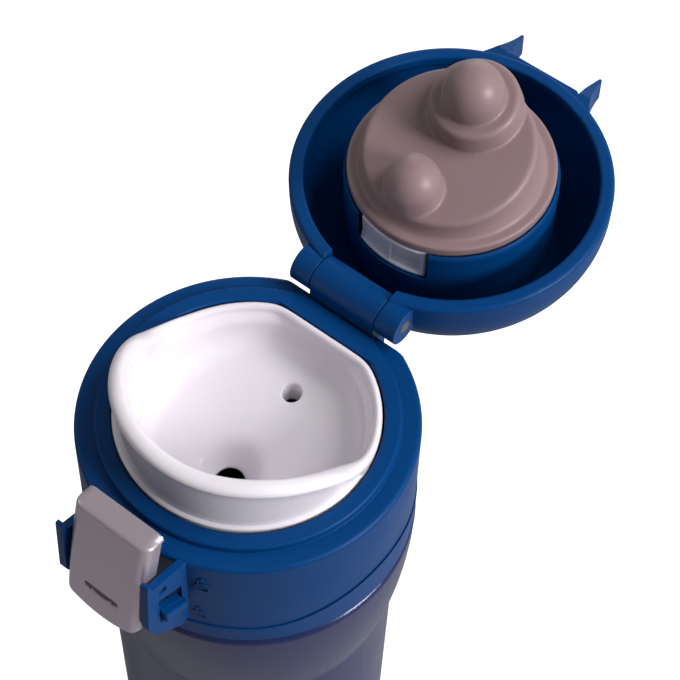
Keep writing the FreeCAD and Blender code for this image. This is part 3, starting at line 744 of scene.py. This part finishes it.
def floor_height(y):
    """Height of the sloping floor over the collar."""
    return -floor_drop + y * floor_slope


print("floor over the collar's edge:", round(floor_height(well_y), 1), "mm at the well,",
      round(floor_height(vent_y), 1), "mm at the vent")

# %% [markdown]
# Outside, the wall is upright and carries a small bead just over the collar. The bead and the
# overhanging lip belong to the front, where the rim is high, and fade out toward the hinge.
# The rim's own height drives both, so that one rule serves all the way round.

# %% Rings up the outside and over the lip
lip_thick = 3.6
back_lip_thick = 1.8
lip_rise = 1.35
overhang = 0.1
low_rim = 5.0
low_shelf = 1.0
bead_shelf, shelf_slope = 2.55, 0.02
bead_end, bead_squeeze = 2.5, 0.01


def outside_at(angle):
    """Radius of the outer wall and height of the rim at an angle."""
    radius = flat_back(outer_radius, outer_back, angle)
    return radius, rim_height(radius * math.sin(angle))


def overhang_at(rim):
    """How far the lip stands out over the wall: only where the rim is high."""
    return overhang * smooth_step(rim, low=4.0, high=12.0)


def lip_at(rim):
    """Thickness of the lip: thinner where the rim runs low behind."""
    return back_lip_thick + (lip_thick - back_lip_thick) * smooth_step(rim, low=2.5, high=7.0)


def outer_ring(height=None, under_rim=None, out=0.0, lip_share=0.0):
    """Ring of the outer wall at a height, or at a depth under the rim."""
    def point_at(angle):
        radius, rim = outside_at(angle)
        front = smooth_step(rim, low=3.0, high=9.0)
        if under_rim is not None:
            shelf = low_shelf if rim < low_rim else bead_shelf + shelf_slope * rim
            z = max(rim - under_rim, shelf)
        elif rim < low_rim:
            z = min(height, low_shelf - bead_squeeze * (bead_end - height))
        else:
            z = height
        across = radius + out * front + overhang_at(rim) * lip_share
        return above(across * math.cos(angle), across * math.sin(angle), z)
    return ring(point_at, BOWL_POINTS)


def lip_ring(turn):
    """Ring over the rim: turn runs from 0 outside to 180 inside."""
    across_turn = math.cos(math.radians(turn))
    up_turn = math.sin(math.radians(turn))

    def point_at(angle):
        outside, rim = outside_at(angle)
        outside += overhang_at(rim)
        half_thick = lip_at(rim) / 2
        radius = outside - half_thick + half_thick * across_turn
        return above(radius * math.cos(angle), radius * math.sin(angle),
                     rim - lip_rise + lip_rise * up_turn)
    return ring(point_at, BOWL_POINTS)


def round_ring(radius, height):
    """Level round ring at a height over the collar."""
    return ring(lambda a: above(radius * math.cos(a), radius * math.sin(a), height), BOWL_POINTS)


foot = -15.65
foot_radius = 20.4
rings = [round_ring(foot_radius, foot), outer_ring(foot), outer_ring(-5.0), outer_ring(0.6)]
bead = [(1.60, 0.0), (1.72, 0.22), (1.95, 0.32), (2.20, 0.26), (2.35, 0.0), (bead_end, -0.5)]
rings += [outer_ring(height, out=out) for height, out in bead]
neck_inset = 0.75
UNDER_LIP = ((5.0, -0.1), (3.4, 0.0), (2.6, 0.15), (2.15, 0.45), (1.8, 0.8), (1.6, 1.0))
rings += [outer_ring(under_rim=depth, out=-neck_inset * (1 - share), lip_share=share)
          for depth, share in UNDER_LIP]
LIP_STEPS = 14
rings += [lip_ring(180.0 * k / LIP_STEPS) for k in range(LIP_STEPS + 1)]
print("outside and lip:", len(rings), "rings of", BOWL_POINTS, "points")

# %% [markdown]
# Inside, the wall leans in gently, then bends quickly toward the floor, and a quarter round
# carries it into the slope. The fillet is worked out at each angle over the tilted floor, so
# that it keeps its radius although the floor rises toward the hinge.

# %% Rings down the inside and across the floor
INSIDE_STEPS = 12
floor_fillet = 4.2
floor_reach = 19.0
back_wall = 21.3
wall_foot, wall_bend = -14.0, -2.0
foot_wall_radius, bend_wall_radius = 20.4, 22.2
wall_lean = 0.062


def wall_inside(height):
    """Radius of the bowl's inner wall at a height over the collar."""
    if height < wall_bend:
        share = max(height - wall_foot, 0.0) / (wall_bend - wall_foot)
        return foot_wall_radius + (bend_wall_radius - foot_wall_radius) * math.sqrt(share)
    return bend_wall_radius + wall_lean * (height - wall_bend)


def inner_ring(share):
    """Ring of the inner wall: share is 0 under the lip and 1 at the floor's fillet."""
    def point_at(angle):
        outside, rim = outside_at(angle)
        start = outside + overhang_at(rim) - lip_at(rim)
        top = rim - lip_rise
        bottom = floor_height(floor_reach * math.sin(angle)) + floor_fillet
        z = top + (bottom - top) * share
        low = flat_back(wall_inside(z), back_wall, angle)
        radius = start + (low - start) * smooth_step(share, low=-0.15, high=0.5)
        return above(radius * math.cos(angle), radius * math.sin(angle), z)
    return ring(point_at, BOWL_POINTS)


def fillet_ring(turn):
    """Ring of the fillet between wall and floor: turn runs from 0 to 90."""
    def point_at(angle):
        bottom = floor_height(floor_reach * math.sin(angle)) + floor_fillet
        wall = flat_back(wall_inside(bottom), back_wall, angle)
        radius = wall - floor_fillet * (1 - math.cos(math.radians(turn)))
        y = radius * math.sin(angle)
        z = floor_height(y) + floor_fillet * (1 - math.sin(math.radians(turn)))
        return above(radius * math.cos(angle), y, z)
    return ring(point_at, BOWL_POINTS)


FILLET_STEPS = 8
rings += [inner_ring(k / INSIDE_STEPS) for k in range(1, INSIDE_STEPS + 1)]
rings += [fillet_ring(90.0 * k / FILLET_STEPS) for k in range(1, FILLET_STEPS + 1)]
print("with the inside:", len(rings), "rings")

# %% [markdown]
# The vent is a short tube with a rounded mouth. The well is a soft funnel that ends in the
# drinking hole. Both are stacks of small rings that follow the sloping floor at their mouth.
# The floor round them is flat, so triangles can fill it without showing.

# %% Holes in the floor
HOLE_POINTS = 64


def hole_ring(y, radius, offset, level=None):
    """Ring round a hole at y: offset over the sloping floor, or at a level height."""
    def point_at(angle):
        along = y + radius * math.sin(angle)
        z = floor_height(along) + offset if level is None else level
        return above(radius * math.cos(angle), along, z)
    return ring(point_at, HOLE_POINTS)


bowl = bmesh.new()
_, floor_edge = stack(bowl, rings)
vent_radius, vent_round = 1.95, 0.45
VENT_TUBE = [(1.5, 5.0), (3.0, 5.0), (3.0, floor_thick)]
vent_rings = [hole_ring(vent_y, vent_radius + across, up)
              for across, up in quarter(vent_round, -vent_round, vent_round, 90, 180, 4)]
vent_rings += [hole_ring(vent_y, r, -depth) for r, depth in VENT_TUBE]
vent_top, vent_bottom = stack(bowl, vent_rings)
FUNNEL = [(8.6, 0.0), (7.7, 0.18), (6.8, 0.6), (6.0, 1.25), (5.3, 2.05), (4.6, 2.95),
          (3.9, 3.75), (3.4, 4.3), (3.2, 4.9), (9.4, 4.9), (9.4, floor_thick)]
well_top, well_bottom = stack(bowl, [hole_ring(well_y, r, -depth) for r, depth in FUNNEL])
print("vent", round(2 * (vent_radius + vent_round), 1), "mm wide at its mouth, well",
      2 * FUNNEL[0][0], "mm")

# %% [markdown]
# Underneath, a short skirt reaches down into the closure, and the floor's underside follows
# its top. Filling both floors between their edges and holes closes the bowl, so that light
# finds no gap and the mesh has an inside and an outside.

# %% Underside and floor
SKIRT = [(foot_radius, foot), (foot_radius, -18.0), (19.5, -19.0), (19.5, -24.0),
         (18.2, -24.0), (18.2, -19.4)]
under_radius = 17.8
under_rings = [round_ring(radius, height) for radius, height in SKIRT]
under_rings.append(ring(
    lambda a: above(under_radius * math.cos(a), under_radius * math.sin(a),
                    floor_height(under_radius * math.sin(a)) - floor_thick), BOWL_POINTS))
_, under_edge = stack(bowl, under_rings)


def fill_between(mesh, loops):
    """Fill a flat face that has holes in it."""
    borders = []
    for loop in loops:
        borders += [mesh.edges.get((loop[k], loop[(k + 1) % len(loop)]))
                    for k in range(len(loop))]
    bmesh.ops.triangle_fill(mesh, edges=borders, use_beauty=True)


fill_between(bowl, [floor_edge, vent_top, well_top])
fill_between(bowl, [under_edge, vent_bottom, well_bottom])
drinking_bowl = piece_from("drinking_bowl", bowl, crease=50.0)
settle(drinking_bowl, white, "closure", ["mouthpiece"])

# %% [markdown]
# ## Sleeve and release lever
#
# A blue sleeve stands round the tube in the lid, and a window in it shows the milky lever that
# lets the gasket go. Both are thin curved walls. Such a wall is easy to draw as a grid of
# points on a surface, given by a rule, and the Solidify modifier then gives it its thickness.

# %% Curved grids
def sheet_piece(name, point_at, columns, rows, thickness, window=None):
    """Wall drawn as a sheet point_at(u, v), u and v from 0 to 1; window(u, v) cuts a hole.

    The thickness is added behind the faces, on the side away from their normals.
    """
    mesh = bmesh.new()
    grid = [[mesh.verts.new(point_at(i / columns, j / rows)) for i in range(columns + 1)]
            for j in range(rows + 1)]
    for j in range(rows):
        for i in range(columns):
            if window and window((i + 0.5) / columns, (j + 0.5) / rows):
                continue
            mesh.faces.new((grid[j][i], grid[j][i + 1], grid[j + 1][i + 1], grid[j + 1][i]))
    bmesh.ops.remove_doubles(mesh, verts=mesh.verts, dist=1e-6)
    bmesh.ops.delete(mesh, geom=[v for v in mesh.verts if not v.link_faces], context="VERTS")
    data = bpy.data.meshes.new(name)
    mesh.to_mesh(data)
    mesh.free()
    piece = bpy.data.objects.new(name, data)
    bpy.context.scene.collection.objects.link(piece)
    wall = piece.modifiers.new("wall", "SOLIDIFY")
    wall.thickness = thickness * MM
    wall.offset = -1.0
    baked(piece)
    data = piece.data
    data.shade_smooth()
    data.set_sharp_from_angle(angle=math.radians(50.0))
    print(name, columns, "by", rows, "grid with a", thickness, "mm wall")
    return piece


# %% [markdown]
# The sleeve is a plain cylinder, drawn in a little at its foot, with a rectangular window
# toward the hinge. Its grid runs clockwise, so the faces look at the tube and the wall
# grows outward from them.

# %% Sleeve round the tube
sleeve_radius = 21.1
sleeve_low, sleeve_high = -0.9, 18.5
foot_inset, foot_height = 0.35, 0.5
window_half = 8.55
window_top = 7.1


def sleeve_place(u, v):
    """Angle and height of a point of the sleeve; u = 0 faces away from the hinge."""
    return -math.pi / 2 - u * 2 * math.pi, sleeve_low + (sleeve_high - sleeve_low) * v


def sleeve_point(u, v):
    """Point of the sleeve, drawn in at its foot."""
    angle, z = sleeve_place(u, v)
    at_foot = 1 - smooth_step(z, sleeve_low, sleeve_low + foot_height)
    radius = sleeve_radius - foot_inset * at_foot
    return lid_point(radius * math.cos(angle), radius * math.sin(angle), z)


def lever_window(u, v):
    """True where the sleeve is open round the lever."""
    angle, z = sleeve_place(u, v)
    across = sleeve_radius * math.cos(angle)
    return z < window_top and abs(across) < window_half and math.sin(angle) > 0


sleeve = sheet_piece("boss_sleeve", sleeve_point, columns=200, rows=78, thickness=0.65,
                     window=lever_window)
settle(sleeve, blue, "lid")

# %% [markdown]
# The lever's face has a raised border and a rib down its middle. Both could be separate
# strips, but then they would look stuck on. Here the distance to the nearest edge and to the
# middle line decides how far each point of the grid stands out, so all blends in one face.

# %% Release lever with its border and rib
lever_half = math.radians(22.3)
lever_low, lever_high = -0.7, 6.9
lever_radius = 20.35
raised, rib_share = 0.45, 0.6
lever_round = 0.3
lean_out, lean_from = 0.5, 4.0


def lever_point(u, v):
    """Point of the lever's face, raised at its border and rib."""
    angle = math.pi / 2 - lever_half + u * 2 * lever_half
    z = lever_low + (lever_high - lever_low) * v
    edge = min(u, 1 - u) * 2 * lever_half * sleeve_radius
    edge = min(edge, (lever_high - z), (z - lever_low))
    from_middle = abs(u - 0.5) * 2 * lever_half * sleeve_radius
    border = 1 - smooth_step(edge, low=0.7, high=1.15)
    rib = 1 - smooth_step(from_middle, low=0.12, high=0.38)
    rounding = lever_round * (1 - smooth_step(edge, low=0.0, high=0.35))
    lean = lean_out * smooth_step(z, lean_from, lever_high)
    radius = lever_radius + raised * max(border, rib_share * rib) - rounding + lean
    return lid_point(radius * math.cos(angle), radius * math.sin(angle), z)


lever = sheet_piece("release_lever", lever_point, columns=110, rows=56, thickness=1.7)
settle(lever, milky, "release", ["gasket_release_lever"])

# %% [markdown]
# ## The silver button
#
# The button is a thin curved cap with generous round edges, and a shallow groove tells the
# thumb where to press. A bevelled box would be straight where its front and its foot curve.
# The front bends over into the top, so one profile runs from the foot upward, and says for
# each height where the front lies and how far back the side walls reach.

# %% Profile of the button
button_half = 8.7
side_round = 1.9
FACE_TOP, FACE_BOTTOM = 11.0, -15.0
FACE_SPAN, FACE_LEAN, FACE_BULGE = 27.0, 5.8, 0.462
FOOT_RISE, FOOT_REACH = 4.1, 12.0
TOP_ROUND = 1.1
top_front, top_back = -38.1, -33.6


def face_y(z):
    """Front of the button at height z: a shallow arc that leans outward below."""
    down = (FACE_TOP - z) / FACE_SPAN
    return top_front - FACE_LEAN * down - 4 * FACE_BULGE * down * (1 - down)


def foot_z(x):
    """Height of the button's foot: lowest in the middle, curving up to both sides."""
    return FACE_BOTTOM + FOOT_RISE * (x / FOOT_REACH) ** 2


wall_shallow, wall_deep = 1.9, 4.3
wall_top = FACE_TOP - 1.4
FACE_SHARE = 0.80
ROUND_SHARE = 0.90


def profile(x, v):
    """Outer point (y, z) and the point behind it where the side wall ends."""
    if v <= FACE_SHARE:
        low, high = foot_z(x), FACE_TOP - TOP_ROUND
        z = low + (high - low) * v / FACE_SHARE
        deeper = smooth_step(z, low=-14.0, high=3.0)
        depth = wall_shallow + (wall_deep - wall_shallow) * deeper
        return Vector((face_y(z), z)), Vector((face_y(z) + depth, min(z, wall_top)))
    if v <= ROUND_SHARE:
        turn = (v - FACE_SHARE) / (ROUND_SHARE - FACE_SHARE) * math.pi / 2
        front = face_y(FACE_TOP - TOP_ROUND)
        out = Vector((front + TOP_ROUND * (1 - math.cos(turn)),
                      FACE_TOP - TOP_ROUND * (1 - math.sin(turn))))
        return out, Vector((front + wall_deep, wall_top))
    share = (v - ROUND_SHARE) / (1 - ROUND_SHARE)
    front = face_y(FACE_TOP - TOP_ROUND) + TOP_ROUND
    out = Vector((front + (top_back - front) * share, FACE_TOP))
    return out, Vector((max(front - TOP_ROUND + wall_deep, out.x), wall_top))


print("button", 2 * button_half, "mm wide, leaning out by",
      round(face_y(FACE_TOP) - face_y(FACE_BOTTOM), 1), "mm from top to foot")

# %% [markdown]
# Across its width each row of the grid runs up one side wall, round an arc, over the flat,
# and down the other side. The groove is the distance to a short line, turned into a soft
# step. It could be a bump in the material, but then it would be missing from the mesh.

# %% Grid of the button
MARK_HALF, MARK_Z, MARK_RADIUS, MARK_DEPTH = 3.3, -8.3, 0.75, 0.4
MARK_SLOPE = 0.15
WALL_RUN, WALL_REACH = 2.4, 10.0


def mark_share(x, z):
    """1 inside the groove, 0 outside, with a short slope between."""
    away = math.hypot(max(abs(x) - MARK_HALF, 0.0), z - MARK_Z)
    return 1 - smooth_step(away, MARK_RADIUS - MARK_SLOPE, MARK_RADIUS + MARK_SLOPE)


def button_point(u, v):
    """Point of the button: u runs across from side to side, v from foot to top."""
    wrap = button_half - side_round
    flat, arc = 2 * wrap, side_round * math.pi / 2
    run = u * (flat + 2 * arc + 2 * WALL_RUN)
    side = -1 if run < WALL_RUN + arc + flat / 2 else 1
    from_middle = abs(run - (WALL_RUN + arc + flat / 2))
    if from_middle <= flat / 2:
        x, share = from_middle, 0.0
    elif from_middle <= flat / 2 + arc:
        turn = (from_middle - flat / 2) / side_round
        x, share = wrap + side_round * math.sin(turn), side_round * (1 - math.cos(turn))
    else:
        x = button_half
        share = side_round + (from_middle - flat / 2 - arc) / WALL_RUN * WALL_REACH
    outer, inner = profile(x, v)
    reach = inner - outer
    depth = min(share * min(1.0, reach.length / side_round), reach.length)
    point = outer + reach.normalized() * depth
    if share == 0.0 and v < FACE_SHARE:
        point.x += MARK_DEPTH * mark_share(x, point.y)
    return above(side * x, point.x, point.y)


# %% [markdown]
# The groove is darker than the face. Its faces get painted shade: a copy of the silver finish
# with a darker, less metallic colour stands in for the shade inside the recess, so no second
# piece is needed.

# %% Make the button
GROOVE_SHADE_COLOR = (0.13, 0.105, 0.125)
GROOVE_SHADE_METALLIC = 0.15
GROOVE_FRONT = -40.0

button = sheet_piece("press_button", button_point, columns=150, rows=190, thickness=0.9)
# Darker copy of the silver finish: painted shade for the faces inside the groove.
groove = silver.copy()
groove.name = "silver_groove_painted_shade"
for tint_node in groove.node_tree.nodes:
    if tint_node.type == "GROUP" and tint_node.node_tree == tint:
        tint_node.inputs["Color"].default_value = (*GROOVE_SHADE_COLOR, 1.0)
groove.node_tree.nodes["Principled BSDF"].inputs["Metallic"].default_value = GROOVE_SHADE_METALLIC
settle(button, silver, "latch", ["latch_button"])
button.data.materials.append(groove)
for face in button.data.polygons:
    if mark_share(face.center.x / MM, (face.center.z - collar_top) / MM) > 0.5:
        face.material_index = int(face.center.y / MM < GROOVE_FRONT)
print("faces in the groove:", sum(face.material_index for face in button.data.polygons))

# %% [markdown]
# ## Raised marks
#
# A tiny open padlock over a shut one stands beside the lock, moulded into the collar. Each is
# a bent line of one thickness, so one Geometry Nodes tree turns any line into a raised bead:
# it sweeps a small circle along the line, and its radius is an input.

# %% A tree that beads any line
BEAD_SIDES = 10


def bead_tree():
    """Node tree: sweep a circle along the incoming curve, then give it a material."""
    tree = bpy.data.node_groups.new("raised_bead", "GeometryNodeTree")
    tree.interface.new_socket("Geometry", in_out="INPUT", socket_type="NodeSocketGeometry")
    tree.interface.new_socket("Radius", in_out="INPUT", socket_type="NodeSocketFloat")
    tree.interface.new_socket("Finish", in_out="INPUT", socket_type="NodeSocketMaterial")
    tree.interface.new_socket("Geometry", in_out="OUTPUT", socket_type="NodeSocketGeometry")
    start, end = tree.nodes.new("NodeGroupInput"), tree.nodes.new("NodeGroupOutput")
    section = tree.nodes.new("GeometryNodeCurvePrimitiveCircle")
    section.inputs["Resolution"].default_value = BEAD_SIDES
    sweep = tree.nodes.new("GeometryNodeCurveToMesh")
    sweep.inputs["Fill Caps"].default_value = True
    real = tree.nodes.new("GeometryNodeRealizeInstances")
    paint = tree.nodes.new("GeometryNodeSetMaterial")
    tree.links.new(start.outputs["Geometry"], sweep.inputs["Curve"])
    tree.links.new(start.outputs["Radius"], section.inputs["Radius"])
    tree.links.new(section.outputs["Curve"], sweep.inputs["Profile Curve"])
    tree.links.new(sweep.outputs["Mesh"], real.inputs["Geometry"])
    tree.links.new(real.outputs["Geometry"], paint.inputs["Geometry"])
    tree.links.new(start.outputs["Finish"], paint.inputs["Material"])
    tree.links.new(paint.outputs["Geometry"], end.inputs["Geometry"])
    return tree


bead_nodes = bead_tree()
print("made", bead_nodes.name, "with", len(bead_nodes.nodes), "nodes")

# %% [markdown]
# The tree needs a curve object to work on. Its inputs are set by the identifiers of their
# sockets. The evaluated result is kept as a plain mesh, and the curve is thrown away.

# %% Bead a set of lines
def beaded(name, lines, radius):
    """Mesh piece of beads along lines, each given as (points, whether it closes)."""
    curve = bpy.data.curves.new(name + "_lines", "CURVE")
    curve.dimensions = "3D"
    for points, closed in lines:
        spline = curve.splines.new("POLY")
        spline.points.add(len(points) - 1)
        for knot, place in zip(spline.points, points):
            knot.co = (*place, 1.0)
        spline.use_cyclic_u = closed
    source = bpy.data.objects.new(name, curve)
    bpy.context.scene.collection.objects.link(source)
    tool = source.modifiers.new("bead", "NODES")
    tool.node_group = bead_nodes
    ids = {item.name: item.identifier for item in bead_nodes.interface.items_tree
           if item.in_out == "INPUT"}
    tool[ids["Radius"]] = radius * MM
    tool[ids["Finish"]] = blue
    graph = bpy.context.evaluated_depsgraph_get()
    data = bpy.data.meshes.new_from_object(source.evaluated_get(graph))
    bpy.data.objects.remove(source)
    piece = bpy.data.objects.new(name, data)
    bpy.context.scene.collection.objects.link(piece)
    data.shade_smooth()
    return piece


# %% [markdown]
# Each padlock is a box, a bent shackle and a keyhole stroke, drawn in degrees round the
# collar and millimetres up it, so that its lines lie on the curved side. The open one's
# shackle is lifted and lacks its second leg.

# %% Two padlocks on the collar
collar_radius = 33.2
box_half, box_tall, box_below_top = 2.1, 2.3, 1.9
shackle_share, shackle_straight, shackle_round = 0.6, 0.7, 1.1
ARC_STEPS = 10
bead_radius = 0.14


def on_collar(angle, height):
    """Place on the collar's side: angle in degrees from the button, toward the lock."""
    turn = math.radians(angle)
    return above(collar_radius * math.sin(turn), -collar_radius * math.cos(turn), height)


def padlock(angle, top, shackle_lift):
    """Lines of a padlock: a box, a shackle over it and a short keyhole stroke."""
    box_top = top - box_below_top
    box_foot = box_top - box_tall
    box = [on_collar(angle + side * box_half, z) for side, z in
           ((-1, box_top), (1, box_top), (1, box_foot), (-1, box_foot))]
    leg = box_half * shackle_share
    bend = box_top + shackle_straight + shackle_lift
    turns = [math.pi * k / ARC_STEPS for k in range(ARC_STEPS + 1)]
    arc = [on_collar(angle - leg * math.cos(turn), bend + shackle_round * math.sin(turn))
           for turn in turns]
    shackle = [on_collar(angle - leg, box_top)] + arc
    if not shackle_lift:
        shackle.append(on_collar(angle + leg, box_top))
    keyhole = [on_collar(angle, box_top - 0.9), on_collar(angle, box_top - 1.5)]
    return [(box, True), (shackle, False), (keyhole, False)]


open_lock = padlock(angle=24.3, top=-4.8, shackle_lift=0.35)
shut_lock = padlock(angle=23.0, top=-16.0, shackle_lift=0.0)
marks = beaded("padlock_marks", open_lock + shut_lock, bead_radius)
settle(marks, blue, "closure")

# %% [markdown]
# ## Floor, light and camera
#
# The mug stands on a plain floor in a white room. A truly white floor would throw its light
# back up and flatten every shadow under the collar. So this floor is grey, and glows only for
# rays that come straight from the camera, which the Light Path node can tell.

# %% Floor
FLOOR_SIZE = 20.0
FLOOR_GLOW = 0.92

floor_mesh = bmesh.new()
bmesh.ops.create_grid(floor_mesh, x_segments=1, y_segments=1, size=FLOOR_SIZE)
floor = piece_from("studio_floor", floor_mesh)
pale = bpy.data.materials.new("pale_floor")
pale.use_nodes = True
pale_shader = pale.node_tree.nodes["Principled BSDF"]
pale_shader.inputs["Base Color"].default_value = (0.32, 0.32, 0.34, 1)
pale_shader.inputs["Roughness"].default_value = 0.9
pale_shader.inputs["Emission Color"].default_value = (1, 1, 1, 1)
seen = add(pale.node_tree, "LightPath")
glow = add(pale.node_tree, "Math", operation="MULTIPLY")
glow.inputs[1].default_value = FLOOR_GLOW
pale.node_tree.links.new(seen.outputs["Is Camera Ray"], glow.inputs[0])
pale.node_tree.links.new(glow.outputs[0], pale_shader.inputs["Emission Strength"])
floor.data.materials.append(pale)
print(floor.name, 2 * FLOOR_SIZE, "m wide")

# %% [markdown]
# One strong lamp on the right shades the round surfaces from one side to the other. A second
# one from above opens the bowl, but is kept out of reflections, and two weak ones lift the
# dark side. The world adds an even white fill. A sun or a bare point lamp would cast hard
# shadows, where large square lamps cast soft ones.

# %% Lamps and world
WORLD_STRENGTH = 0.26


def soft_lamp(name, offset, size, power):
    """Square area lamp at an offset from the mug's top, aimed at it."""
    data = bpy.data.lights.new(name, "AREA")
    data.size = size
    data.energy = power
    lamp = bpy.data.objects.new(name, data)
    target = above(0, 10, 0)
    lamp.location = target + Vector(offset)
    lamp.rotation_mode = "QUATERNION"
    lamp.rotation_quaternion = (target - lamp.location).to_track_quat("-Z", "Y")
    bpy.context.scene.collection.objects.link(lamp)
    return lamp


soft_lamp("key_right", offset=(1.06, 0.17, 0.52), size=0.35, power=13.0)
top_right = soft_lamp("top_right", offset=(0.55, 0.45, 1.0), size=0.6, power=9.0)
top_right.visible_glossy = False
soft_lamp("fill_left", offset=(-0.9, -0.3, 0.6), size=0.7, power=1.0)
soft_lamp("fill_back", offset=(-0.5, 0.9, 0.25), size=0.7, power=2.0)
world = bpy.data.worlds.new("white_room")
world.use_nodes = True
backdrop = world.node_tree.nodes["Background"]
backdrop.inputs["Color"].default_value = (1.0, 1.0, 1.0, 1.0)
backdrop.inputs["Strength"].default_value = WORLD_STRENGTH
bpy.context.scene.world = world
bpy.context.scene.view_settings.view_transform = "Standard"
print("lamps:", [data.name for data in bpy.data.lights])

# %% [markdown]
# The camera looks down steeply on the open lid and bowl, from a little to the right of the
# button, and is rolled by a few degrees. Its place is worked out from two angles and a
# distance, and its axes come from cross products, so that nothing depends on a constraint.

# %% Camera
azimuth, elevation, roll = (math.radians(a) for a in (35.392, 55.949, 2.925))
distance = 0.35481
aim = above(2.905, 24.508, 0.0)
camera_data = bpy.data.cameras.new("camera")
camera_data.sensor_width = 36.0
camera_data.lens = 96.33
camera_data.clip_start = 0.01
camera = bpy.data.objects.new("camera", camera_data)
bpy.context.scene.collection.objects.link(camera)
back = Vector((math.sin(azimuth) * math.cos(elevation),
               -math.cos(azimuth) * math.cos(elevation), math.sin(elevation)))
right = (-back).cross(Vector((0, 0, 1))).normalized()
up = right.cross(-back)
across = right * math.cos(roll) + up * math.sin(roll)
upward = up * math.cos(roll) - right * math.sin(roll)
turned = Matrix((across, upward, back)).transposed().to_4x4()
camera.matrix_world = Matrix.Translation(aim + back * distance) @ turned
bpy.context.scene.camera = camera
print("camera", round(camera.location.length, 3), "m from the base's centre")
